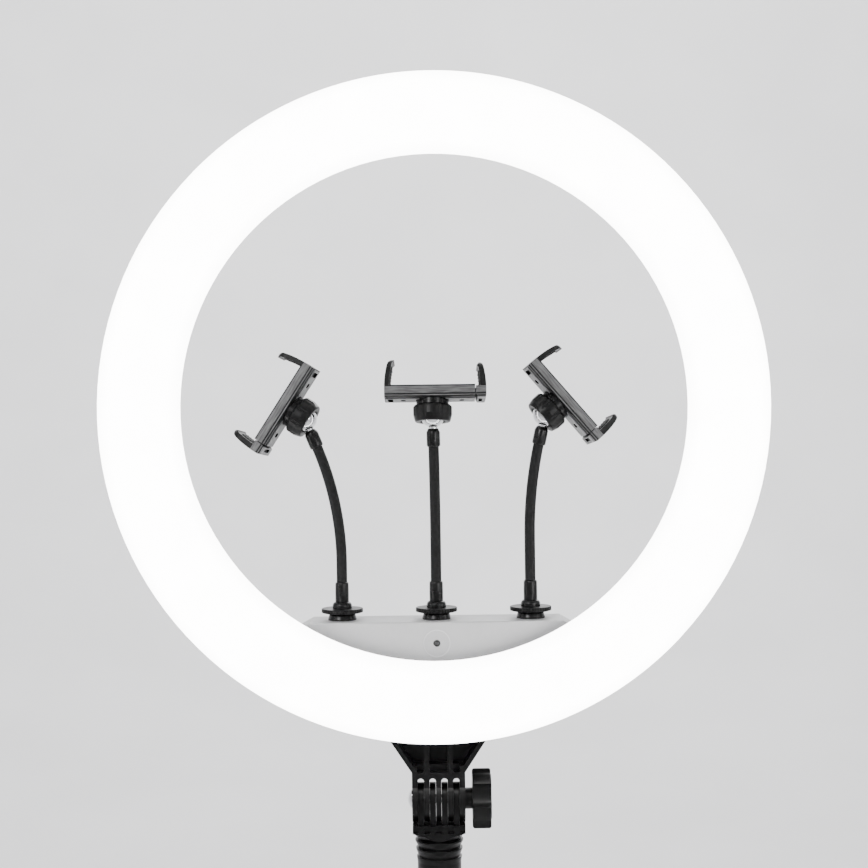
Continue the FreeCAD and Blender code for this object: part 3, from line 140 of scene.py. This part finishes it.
def add_stage():
    world = bpy.data.worlds.new("studio")
    bpy.context.scene.world = world
    world.use_nodes = True
    sky = world.node_tree.nodes["Background"].inputs
    sky["Color"].default_value = (0.12, 0.12, 0.122, 1)
    sky["Strength"].default_value = 1.0
    add_light("key", (-1.2, -2.1, 1.5), 0.9, 30)
    add_light("fill", (1.5, -1.9, 0.6), 0.9, 16)
    add_light("back", (0.8, 2.0, 1.7), 1.2, 26)
    walls = {"rear": (0, 1, 470), "right": (1, 0, 45), "left": (-1, 0, 45), "front": (0, -1, 45)}
    for name, (x, y, power) in walls.items():
        aim = (WALL * x, WALL * y, 0.6)
        add_light(f"{name}_wall", (2.6 * x, 2.6 * y, 4.2), 3.0, power, aim)
    add_backdrop()


def add_backdrop():
    """A pale round floor that sweeps up into a wall on every side."""
    floor_z, sweep, top, steps, around = -0.9, 4.0, 11.0, 32, 96
    profile = [(0.05, floor_z)]
    for step in range(steps + 1):
        angle = math.radians(90) * step / steps
        profile.append((WALL - sweep * (1 - math.sin(angle)), floor_z + sweep * (1 - math.cos(angle))))
    profile.append((WALL, top))
    points, faces = [], [tuple(range(around))]
    for radius, z in profile:
        for n in range(around):
            angle = math.tau * n / around
            points.append((radius * math.cos(angle), radius * math.sin(angle), z))
    for row in range(len(profile) - 1):
        for n in range(around):
            a, b = row * around + n, row * around + (n + 1) % around
            faces.append((a, b, b + around, a + around))
    mesh = bpy.data.meshes.new("floor")
    mesh.from_pydata(points, [], faces)
    paint = Shade("floor_paint")
    paint.set("Roughness", 0.85)
    paint.link(paint.ramp(paint.noise(2.0, 3), grey(0.76), grey(0.80)), "Base Color")
    piece("floor", mesh, paint)


# ---- materials ----


class Shade:
    """A node material built around one principled shader, in the object's own coordinates."""

    def __init__(self, name):
        self.material = bpy.data.materials.new(name)
        self.material.use_nodes = True
        self.tree = self.material.node_tree
        self.shader = self.tree.nodes["Principled BSDF"]
        self.coords = self.add("ShaderNodeTexCoord").outputs["Object"]

    def add(self, kind, **values):
        node = self.tree.nodes.new(kind)
        for name, value in values.items():
            setattr(node, name, value)
        return node

    def feed(self, socket, value):
        if hasattr(value, "links"):
            self.tree.links.new(value, socket)
        else:
            socket.default_value = value

    def set(self, name, value):
        self.shader.inputs[name].default_value = value

    def link(self, output, name):
        self.tree.links.new(output, self.shader.inputs[name])

    def math(self, operation, a, b=0.0):
        node = self.add("ShaderNodeMath", operation=operation)
        self.feed(node.inputs[0], a)
        self.feed(node.inputs[1], b)
        return node.outputs[0]

    def noise(self, scale, detail=2.0, coords=None, rough=0.5):
        node = self.add("ShaderNodeTexNoise")
        self.feed(node.inputs["Vector"], coords or self.coords)
        node.inputs["Scale"].default_value = scale
        node.inputs["Detail"].default_value = detail
        node.inputs["Roughness"].default_value = rough
        return node.outputs["Fac"]

    def ramp(self, fac, low, high):
        """Runs from one colour to another over the middle of a noise's range."""
        node = self.add("ShaderNodeValToRGB")
        self.feed(node.inputs["Fac"], fac)
        first, last = node.color_ramp.elements
        first.position, last.position = 0.35, 0.65
        first.color, last.color = (*low, 1), (*high, 1)
        return node.outputs["Color"]

    def range(self, fac, low, high, start=0.3, end=0.7):
        """Runs from one value to another while the input goes from start to end."""
        node = self.add("ShaderNodeMapRange")
        self.feed(node.inputs["Value"], fac)
        node.inputs["From Min"].default_value = start
        node.inputs["From Max"].default_value = end
        node.inputs["To Min"].default_value = low
        node.inputs["To Max"].default_value = high
        return node.outputs["Result"]

    def mix(self, fac, a, b):
        node = self.add("ShaderNodeMix", data_type="RGBA")
        self.feed(node.inputs["Factor"], fac)
        for socket, value in ((node.inputs[6], a), (node.inputs[7], b)):
            self.feed(socket, value if hasattr(value, "links") else (*value, 1))
        return node.outputs[2]

    def axes(self, coords=None):
        node = self.add("ShaderNodeSeparateXYZ")
        self.feed(node.inputs[0], coords or self.coords)
        return node.outputs

    def reach(self, centre, axis):
        """Distance along an axis from a centre, in metres."""
        node = self.add("ShaderNodeVectorMath", operation="DOT_PRODUCT")
        self.feed(node.inputs[0], self.coords)
        node.inputs[1].default_value = axis
        return self.math("SUBTRACT", node.outputs["Value"], centre.dot(axis))

    def combine(self, x, y, z):
        node = self.add("ShaderNodeCombineXYZ")
        for socket, value in zip(node.inputs, (x, y, z)):
            self.feed(socket, value)
        return node.outputs[0]

    def within(self, value, low, high, soft=0.1 * MM):
        """One between two limits, falling to nothing just outside them."""
        after = self.range(value, 0, 1, low - soft, low)
        before = self.range(value, 1, 0, high, high + soft)
        return self.math("MULTIPLY", after, before)

    def radius(self, u, v):
        squares = self.math("ADD", self.math("MULTIPLY", u, u), self.math("MULTIPLY", v, v))
        return self.math("SQRT", squares)

    def bar(self, u, half_u, v, half_v):
        """One inside an upright rectangle about the middle of two coordinates."""
        inside = []
        for value, half in ((u, half_u), (v, half_v)):
            inside.append(self.range(self.math("ABSOLUTE", value), 1, 0, half, half + 0.06 * MM))
        return self.math("MULTIPLY", *inside)

    def face_of(self, node):
        """Coordinates across and up from the middle of a node, in metres."""
        low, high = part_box(node)
        x, y, z = self.axes()
        return self.math("SUBTRACT", x, (low.x + high.x) / 2), self.math("SUBTRACT", z, (low.z + high.z) / 2)

    def bump(self, heights):
        """Adds up (height output, strength, depth in metres) into the shader's normal."""
        normal = None
        for height, strength, depth in heights:
            node = self.add("ShaderNodeBump")
            node.inputs["Strength"].default_value = strength
            node.inputs["Distance"].default_value = depth
            self.feed(node.inputs["Height"], height)
            if normal is not None:
                self.feed(node.inputs["Normal"], normal)
            normal = node.outputs["Normal"]
        self.link(normal, "Normal")


def grey(level):
    """A grey with the faintest cool cast."""
    return (level, level, level * 1.01)


def moulded(name, base, rough, grain=1400, depth=0.00006, spread=0.12, gloss=0.5):
    """Moulded plastic: slight unevenness of tone and gloss over a fine spark-eroded grain."""
    shade = Shade(name)
    cloud = shade.math("MULTIPLY", shade.noise(18, 3), 0.6)
    dust = shade.math("MULTIPLY", shade.noise(260, 4), 0.4)
    low = tuple(c * (1 - spread) for c in base)
    high = tuple(min(c * (1 + spread), 1) for c in base)
    shade.link(shade.ramp(shade.math("ADD", cloud, dust), low, high), "Base Color")
    shade.link(shade.range(shade.noise(70, 5), rough - 0.07, rough + 0.07), "Roughness")
    shade.set("Specular IOR Level", gloss)
    shade.bump([(shade.noise(grain, 2), 0.35, depth), (shade.noise(40, 2), 0.15, depth * 3)])
    return shade


# a clamp's painted bands, with painted shade in the groove and under the bed: heights above its ball, and
# half widths across it
COVER_TOP = 11.5 * MM
# the black line between these two heights is painted shade in the groove along each side of the bed
GROOVE_SHADE_LOW, GROOVE_SHADE_HIGH = 13.2 * MM, 14.3 * MM
FLANK_LOW, FLANK_HIGH, FLANK_HALF = 12.5 * MM, 19.2 * MM, 12.5 * MM
# the recess band is painted shade under the bed's overhang
RECESS_LOW, RECESS_HIGH, RECESS_HALF = 11.0 * MM, 12.8 * MM, 7.3 * MM


def clamp_plastic(side):
    """Black clamp plastic, streaky grey on the two long sides of the bed, paler on its back cover as a
    painted reflection, with painted shade in the groove and under the bed.
    """
    shade = Shade(f"clamp_plastic_{side}")
    clamp = Clamp(side)
    up = shade.reach(clamp.ball, clamp.up)
    along = shade.reach(clamp.ball, clamp.along)
    across = shade.math("ABSOLUTE", shade.reach(clamp.ball, clamp.across))
    scaled = [shade.math("MULTIPLY", part, by) for part, by in ((along, 90), (across, 600), (up, 900))]
    streaks = shade.noise(1.0, 4, shade.combine(*scaled))
    black = shade.ramp(shade.noise(260, 4), grey(0.003), grey(0.008))
    flank = shade.ramp(streaks, grey(0.085), grey(0.17))
    # painted reflection: the back cover is painted paler, standing in for light it catches at a grazing
    # angle
    cover = shade.ramp(shade.noise(180, 4), grey(0.16), grey(0.22))
    # the gap left between these two bands is a painted dark line of shade in the groove
    below, above = shade.within(up, FLANK_LOW, GROOVE_SHADE_LOW), shade.within(up, GROOVE_SHADE_HIGH, FLANK_HIGH)
    outside = shade.range(across, 0, 1, FLANK_HALF, FLANK_HALF + 0.2 * MM)
    on_flank = shade.math("MULTIPLY", outside, shade.math("ADD", below, above))
    cover_reflection_mask = shade.range(up, 1, 0, COVER_TOP, COVER_TOP + 0.1 * MM)
    # painted shade: a black strip where the bed's underside shades the top of the cover
    inside = shade.range(across, 1, 0, RECESS_HALF, RECESS_HALF + 0.1 * MM)
    recess_shade_mask = shade.math("MULTIPLY", inside, shade.within(up, RECESS_LOW, RECESS_HIGH))
    tone = shade.mix(on_flank, black, flank)
    tone = shade.mix(cover_reflection_mask, tone, cover)
    shade.link(shade.mix(recess_shade_mask, tone, black), "Base Color")
    shade.link(shade.range(shade.noise(70, 5), 0.32, 0.46), "Roughness")
    shade.set("Specular IOR Level", 0.25)
    shade.bump([(shade.noise(1400, 2), 0.35, 0.00005), (streaks, 0.2, 0.00006)])
    return shade


def metal(name, base, rough):
    """Bare or plated metal, duller and darker in patches, with fine scratches."""
    shade = Shade(name)
    shade.set("Metallic", 1.0)
    wear = shade.noise(220, 6, rough=0.65)
    shade.link(shade.ramp(wear, tuple(c * 0.86 for c in base), base), "Base Color")
    shade.link(shade.range(wear, rough, rough + 0.1), "Roughness")
    shade.bump([(shade.noise(900, 3), 0.12, 0.00003)])
    return shade


LIT = 14.0  # how strongly the diffuser shines
DISH = 9.3 * MM  # radius of the sensor's dish


def opal_plastic():
    """The lit diffuser: near white, a touch dimmer at its edges and dim on the skirt."""
    shade = Shade("opal_lit")
    x, y, z = shade.axes()
    up = shade.math("SUBTRACT", z, RING_CENTRE.z)
    middle = (RING_INNER + RING_OUTER) / 2
    away = shade.math("ABSOLUTE", shade.math("SUBTRACT", shade.radius(x, up), middle))
    edge = shade.range(away, LIT, LIT * 0.8, 20 * MM, 28.5 * MM)
    skirt = shade.range(y, 1.0, 0.25, RING_LOW.y + 6 * MM, RING_LOW.y + 20 * MM)
    cloud = shade.range(shade.noise(30, 2), 0.97, 1.03)
    shade.link(shade.math("MULTIPLY", shade.math("MULTIPLY", edge, cloud), skirt), "Emission Strength")
    shade.set("Emission Color", (1.0, 0.992, 0.98, 1))
    shade.link(shade.ramp(shade.noise(60, 3), (0.88, 0.88, 0.87), (0.93, 0.93, 0.92)), "Base Color")
    shade.set("Roughness", 0.4)
    shade.bump([(shade.noise(1800, 2), 0.15, 0.00004)])
    return shade


def chrome():
    """Bright plated metal with faint smudges."""
    shade = Shade("polished_chrome")
    shade.set("Metallic", 1.0)
    smudge = shade.noise(160, 5, rough=0.6)
    shade.link(shade.ramp(smudge, (0.80, 0.80, 0.82), (0.92, 0.92, 0.93)), "Base Color")
    shade.link(shade.range(smudge, 0.05, 0.17), "Roughness")
    shade.bump([(shade.noise(2600, 2), 0.06, 0.00002)])
    return shade


def box_plastic():
    """The box's white plastic, with a painted highlight on the rim round the sensor's dish."""
    shade = moulded("box_plastic", grey(0.60), 0.42, spread=0.03)
    across, up = shade.face_of("ir_window")
    # painted highlight: a paler ring in the colour where the dish's rim would catch the light
    rim = shade.within(shade.radius(across, up), DISH - 0.35 * MM, DISH, 0.3 * MM)
    plain = shade.shader.inputs["Base Color"].links[0].from_socket
    shade.link(shade.mix(rim, plain, grey(0.80)), "Base Color")
    return shade


def button_plastic(name):
    """A grey button with a pale sign printed on its cap."""
    shade = moulded(f"{name}_button", grey(0.14), 0.45, spread=0.1)
    across, up = shade.face_of(f"{name}_button")
    radius = shade.radius(across, up)
    long, thick = 1.1 * MM, 0.2 * MM
    level, upright = shade.bar(across, long, up, thick), shade.bar(across, thick, up, long)
    signs = {
        "power": shade.within(radius, 0.9 * MM, 1.25 * MM),
        "mode": shade.within(radius, -1 * MM, 0.6 * MM),
        "plus": shade.math("MAXIMUM", level, upright),
        "minus": level,
    }
    plain = shade.shader.inputs["Base Color"].links[0].from_socket
    shade.link(shade.mix(signs[name], plain, grey(0.7)), "Base Color")
    return shade


def display_lens():
    """The smoked display window, with a row of rising level bars glowing behind it."""
    shade = smoked_lens("display_lens")
    across, up = shade.face_of("display_window")
    pitch, half, rise = 2.6 * MM, 0.7 * MM, 0.45 * MM
    bars = None
    for step in range(-2, 3):
        shifted = shade.math("SUBTRACT", across, step * pitch)
        tall = (step + 3) * rise
        lifted = shade.math("SUBTRACT", up, tall - 5 * rise)
        bar = shade.bar(shifted, half, lifted, tall)
        bars = bar if bars is None else shade.math("ADD", bars, bar)
    shade.set("Emission Color", (0.55, 0.8, 1.0, 1))
    shade.link(shade.math("MULTIPLY", bars, shade.range(shade.noise(600, 2), 0.9, 1.3)), "Emission Strength")
    return shade


def smoked_lens(name):
    """Dark glossy plastic that the remote's light or the display shows through."""
    shade = Shade(name)
    shade.link(shade.ramp(shade.noise(90, 3), grey(0.006), grey(0.014)), "Base Color")
    shade.link(shade.range(shade.noise(300, 4), 0.03, 0.1), "Roughness")
    shade.set("Coat Weight", 0.6)
    shade.set("Coat Roughness", 0.04)
    shade.bump([(shade.noise(700, 2), 0.04, 0.00002)])
    return shade


def sleeve_rubber():
    """The neck's rubber sleeve, finely ringed along its length by its own UV."""
    shade = Shade("sleeve_rubber")
    uv = shade.add("ShaderNodeUVMap").outputs["UV"]
    along = shade.axes(uv)[1]
    ring_pitch = 1.25  # millimetres, as the UV is
    rings = shade.math("SINE", shade.math("MULTIPLY", along, math.tau / ring_pitch))
    mottle = shade.noise(420, 5)
    shade.link(shade.ramp(mottle, grey(0.003), grey(0.008)), "Base Color")
    shade.link(shade.range(mottle, 0.42, 0.56), "Roughness")
    shade.set("Specular IOR Level", 0.25)
    shade.bump([(rings, 0.5, 0.00012), (shade.noise(1500, 3), 0.3, 0.00005)])
    return shade


def circuit_board(name, base, copper):
    """Lacquered board with a net of tracks under the lacquer."""
    shade = Shade(name)
    cells = shade.add("ShaderNodeTexVoronoi", feature="DISTANCE_TO_EDGE")
    shade.feed(cells.inputs["Vector"], shade.coords)
    cells.inputs["Scale"].default_value = 240
    tracks = shade.math("LESS_THAN", cells.outputs["Distance"], 0.06)
    shade.link(shade.mix(tracks, base, copper), "Base Color")
    shade.link(shade.range(shade.noise(400, 3), 0.3, 0.5), "Roughness")
    shade.bump([(tracks, 0.3, 0.00006)])
    return shade


def phosphor(name, base):
    """The grainy glowing face of a light chip."""
    shade = Shade(name)
    cells = shade.noise(900, 3)
    shade.link(shade.ramp(cells, tuple(c * 0.85 for c in base), base), "Base Color")
    shade.set("Emission Color", (*base, 1))
    shade.link(shade.range(cells, 1.5, 2.5), "Emission Strength")
    shade.set("Roughness", 0.3)
    shade.bump([(cells, 0.2, 0.00005)])
    return shade


def rubber_pad():
    """Matt black rubber."""
    shade = Shade("pad_rubber")
    shade.link(shade.ramp(shade.noise(500, 4), grey(0.008), grey(0.018)), "Base Color")
    shade.link(shade.range(shade.noise(160, 3), 0.6, 0.75), "Roughness")
    shade.bump([(shade.noise(1500, 3), 0.3, 0.00005)])
    return shade


def dress_frame():
    """Gives every CAD node its material, and returns the ones that other pieces share."""
    white = moulded("white_plastic", grey(0.66), 0.42, spread=0.03)
    black = moulded("black_plastic", grey(0.004), 0.36, spread=0.35, gloss=0.25)
    gloss = moulded(
        "black_gloss_plastic", grey(0.004), 0.26, grain=2200, depth=0.00003, spread=0.35, gloss=0.3
    )
    steel = metal("zinc_plated_steel", (0.60, 0.60, 0.62), 0.26)
    brass = metal("brass", (0.74, 0.55, 0.26), 0.28)
    bright = chrome()
    lens = smoked_lens("smoked_lens")
    looks = {
        "diffuser": opal_plastic(),
        "back_housing": white,
        "control_box": box_plastic(),
        "box_cover": white,
        "led_boards": circuit_board("white_board", (0.80, 0.81, 0.79), (0.62, 0.63, 0.60)),
        "leds_warm": phosphor("warm_phosphor", (1.0, 0.62, 0.2)),
        "leds_cool": phosphor("cool_phosphor", (1.0, 0.9, 0.6)),
        "board_screws": steel,
        "mount_screws": steel,
        "cover_screws": steel,
        "ir_window": lens,
        "display_window": display_lens(),
        "control_board": circuit_board("green_board", (0.02, 0.13, 0.06), (0.10, 0.28, 0.14)),
        "dc_jack": gloss,
        "usb_sockets": steel,
        "tilt_yoke": black,
        "stand_adapter": black,
        "tilt_bolt": bright,
        "tilt_knob": black,
        "tilt_knob_insert": brass,
        "adapter_insert": brass,
        "socket_screw": steel,
        "socket_knob": black,
    }
    for name in ("power", "mode", "plus", "minus"):
        looks[f"{name}_button"] = button_plastic(name)
    for side in SIDES:
        for name in ("neck_foot", "neck_lower", "neck_middle", "neck_upper", "clamp_socket"):
            looks[f"{name}_{side}"] = gloss
        looks[f"lock_ring_{side}"] = looks[f"ball_nut_{side}"] = black
        looks[f"ball_stud_{side}"] = bright
        looks[f"clamp_body_{side}"] = looks[f"clamp_jaw_{side}"] = clamp_plastic(side)
        looks[f"clamp_spring_{side}"] = steel
    for name, shade in looks.items():
        materials = NODES[name].data.materials
        materials.clear()
        materials.append(shade.material)
    return {"gloss": gloss, "sleeve": sleeve_rubber(), "pad": rubber_pad()}


# ---- pieces ----


def piece(name, mesh, shade):
    made = bpy.data.objects.new(name, mesh)
    bpy.context.scene.collection.objects.link(made)
    mesh.materials.append(shade.material)
    mesh.polygons.foreach_set("use_smooth", [True] * len(mesh.polygons))
    return made


def tube(name, path, radii, shade, sides=28):
    """A tube through frames, with a UV that runs along it in millimetres."""
    mesh = bpy.data.meshes.new(name)
    points, faces = [], []
    for (centre, across, forward), radius in zip(path, radii):
        for n in range(sides):
            angle = math.tau * n / sides
            points.append(centre + (across * math.cos(angle) + forward * math.sin(angle)) * radius)
    for row in range(len(path) - 1):
        for n in range(sides):
            after = (n + 1) % sides
            a, b = row * sides, (row + 1) * sides
            faces.append((a + n, a + after, b + after, b + n))
    mesh.from_pydata(points, [], faces)
    lengths = [0.0]
    for (a, *_), (b, *_) in zip(path, path[1:]):
        lengths.append(lengths[-1] + (b - a).length / MM)
    layer = mesh.uv_layers.new(name="along")
    spots = []
    for row in range(len(path) - 1):
        for n in range(sides):
            low, high = lengths[row], lengths[row + 1]
            spots += [(n, low), (n + 1, low), (n + 1, high), (n, high)]
    for loop, spot in zip(layer.data, spots):
        loop.uv = spot
    return piece(name, mesh, shade)


SLEEVE_RADIUS = 3.72 * MM
SLEEVE_LOW = 24.4 * MM  # just inside the lower ferrule
SLEEVE_STEP = 1.6 * MM
# profiles of the two ferrules, in millimetres: distance along the neck, radius
LOWER_CUFF = [(11.4, 4.3), (12.6, 4.8), (19.0, 4.8), (24.8, 4.7), (25.8, 4.5), (26.3, 4.1), (26.4, 3.6)]
UPPER_CUFF = [
    (-0.2, 3.6), (0.0, 4.2), (0.6, 4.7), (1.4, 4.8), (9.9, 4.8), (10.6, 4.6), (12.2, 3.85), (12.7, 3.5),
    (12.8, 3.0), (12.8, 2.4),
]


def sleeve_skins(side, neck, shade):
    """The sleeve in two skins along the neck, split at the middle of its arc."""
    arc_foot = neck.first.z - neck.foot.z
    middle = neck.bend / 2
    rows = max(round((arc_foot - SLEEVE_LOW) / SLEEVE_STEP), 6)
    lower = [neck.upright(SLEEVE_LOW + (arc_foot - SLEEVE_LOW) * row / rows) for row in range(rows)]
    rows = max(round(neck.radius * middle / SLEEVE_STEP), 8)
    lower += [neck.on_arc(middle * row / rows) for row in range(rows + 1)]
    upper = [neck.on_arc(middle + middle * row / rows) for row in range(rows + 1)]
    upper.append(neck.on_arc(neck.bend, 2 * MM))

    skin = tube(f"neck_sleeve_low_{side}", lower, [SLEEVE_RADIUS] * len(lower), shade)
    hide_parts(f"neck_lower_{side}")
    reach = 16 * MM
    bend = {"start": neck.upright(arc_foot - reach)[0], "end": neck.on_arc(reach / neck.radius)[0]}
    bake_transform(skin)

    skin = tube(f"neck_sleeve_high_{side}", upper, [SLEEVE_RADIUS] * len(upper), shade)
    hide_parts(f"neck_middle_{side}")
    reach = 30 * MM
    bend = {"start": neck.on_arc(middle)[0], "end": neck.on_arc(middle + reach / neck.radius)[0]}
    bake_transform(skin)


def ferrules(side, neck, shade):
    """The two smooth cuffs that grip the ends of the sleeve."""
    path = [neck.upright(height * MM) for height, radius in LOWER_CUFF]
    radii = [radius * MM for height, radius in LOWER_CUFF]
    cuff = tube(f"lower_ferrule_{side}", path, radii, shade, sides=40)
    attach(cuff, "ring_head")

    path = [neck.on_arc(neck.bend, height * MM) for height, radius in UPPER_CUFF]
    radii = [radius * MM for height, radius in UPPER_CUFF]
    cuff = tube(f"upper_ferrule_{side}", path, radii, shade, sides=40)
    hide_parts(f"neck_upper_{side}")
    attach(cuff, f"neck_upper_{side}")


PAD_HALF = 9.0 * MM
PAD_THICK = 0.9 * MM
PAD_CORNER = 3.0 * MM
PAD_EDGE = 0.5 * MM
PAD_SUNK = 0.4 * MM
RIB_PITCH = 2.2 * MM
RIB_DEEP = 0.22 * MM
PAD_ROWS, PAD_COLUMNS = 48, 20


def pad_points(node, clamp, way, low, high, raised):
    """One side of a pad as rows of points on the arm's face: its ribbed front, or its back in the arm."""
    points = []
    for row in range(PAD_ROWS + 1):
        height = low + (high - low) * row / PAD_ROWS
        hit, spot, *_ = node.ray_cast(clamp.ball + clamp.up * height, clamp.along * way)
        if not hit:
            raise ValueError(f"{node.name} has no arm at {height}")
        to_end = min(height - low, high - height)
        short = PAD_CORNER - min(to_end, PAD_CORNER)
        half = PAD_HALF - PAD_CORNER + math.sqrt(PAD_CORNER**2 - short**2)
        rib = RIB_DEEP * math.cos(math.tau * (height - low) / RIB_PITCH)
        for column in range(PAD_COLUMNS + 1):
            offset = half * (2 * column / PAD_COLUMNS - 1)
            rim = min(to_end, half - abs(offset)) / PAD_EDGE
            swell = math.sqrt(1 - (1 - min(rim, 1)) ** 2)
            rise = swell * (PAD_THICK + rib) - PAD_SUNK / 2 if raised else -PAD_SUNK
            points.append(spot + clamp.across * offset - clamp.along * way * rise)
    return points


def pad_faces():
    """Faces of the pad's front and back, and the band that closes them round the edge."""
    wide = PAD_COLUMNS + 1
    count = (PAD_ROWS + 1) * wide
    faces = []
    for row in range(PAD_ROWS):
        for column in range(PAD_COLUMNS):
            a = row * wide + column
            front = (a, a + 1, a + 1 + wide, a + wide)
            faces += [front, tuple(count + n for n in reversed(front))]
    edge = list(range(wide))
    edge += [row * wide + PAD_COLUMNS for row in range(1, PAD_ROWS + 1)]
    edge += [PAD_ROWS * wide + column for column in range(PAD_COLUMNS - 1, -1, -1)]
    edge += [row * wide for row in range(PAD_ROWS - 1, 0, -1)]
    for a, b in zip(edge, edge[1:] + edge[:1]):
        faces.append((b, a, count + a, count + b))
    return faces


def arm_pad(name, body, clamp, way, low, high, shade):
    """A ribbed rubber pad laid over the inner face of a clamp's arm, between two heights."""
    node = NODES[body]
    front, back = (pad_points(node, clamp, way, low, high, raised) for raised in (True, False))
    mesh = bpy.data.meshes.new(name)
    mesh.from_pydata(front + back, [], pad_faces())
    mesh.update()
    made = piece(name, mesh, shade)
    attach(made, body)


def dress_holder(side, shades):
    """The skins, ferrules and pads of one phone holder."""
    neck, clamp = Neck(side), Clamp(side)
    sleeve_skins(side, neck, shades["sleeve"])
    ferrules(side, neck, shades["gloss"])
    arm_pad(f"fixed_pad_{side}", f"clamp_body_{side}", clamp, -1, 21.6 * MM, 34.5 * MM, shades["pad"])
    arm_pad(f"jaw_pad_{side}", f"clamp_jaw_{side}", clamp, 1, 20.8 * MM, 31.0 * MM, shades["pad"])


add_camera()
add_stage()
shades = dress_frame()
for side in SIDES:
    dress_holder(side, shades)
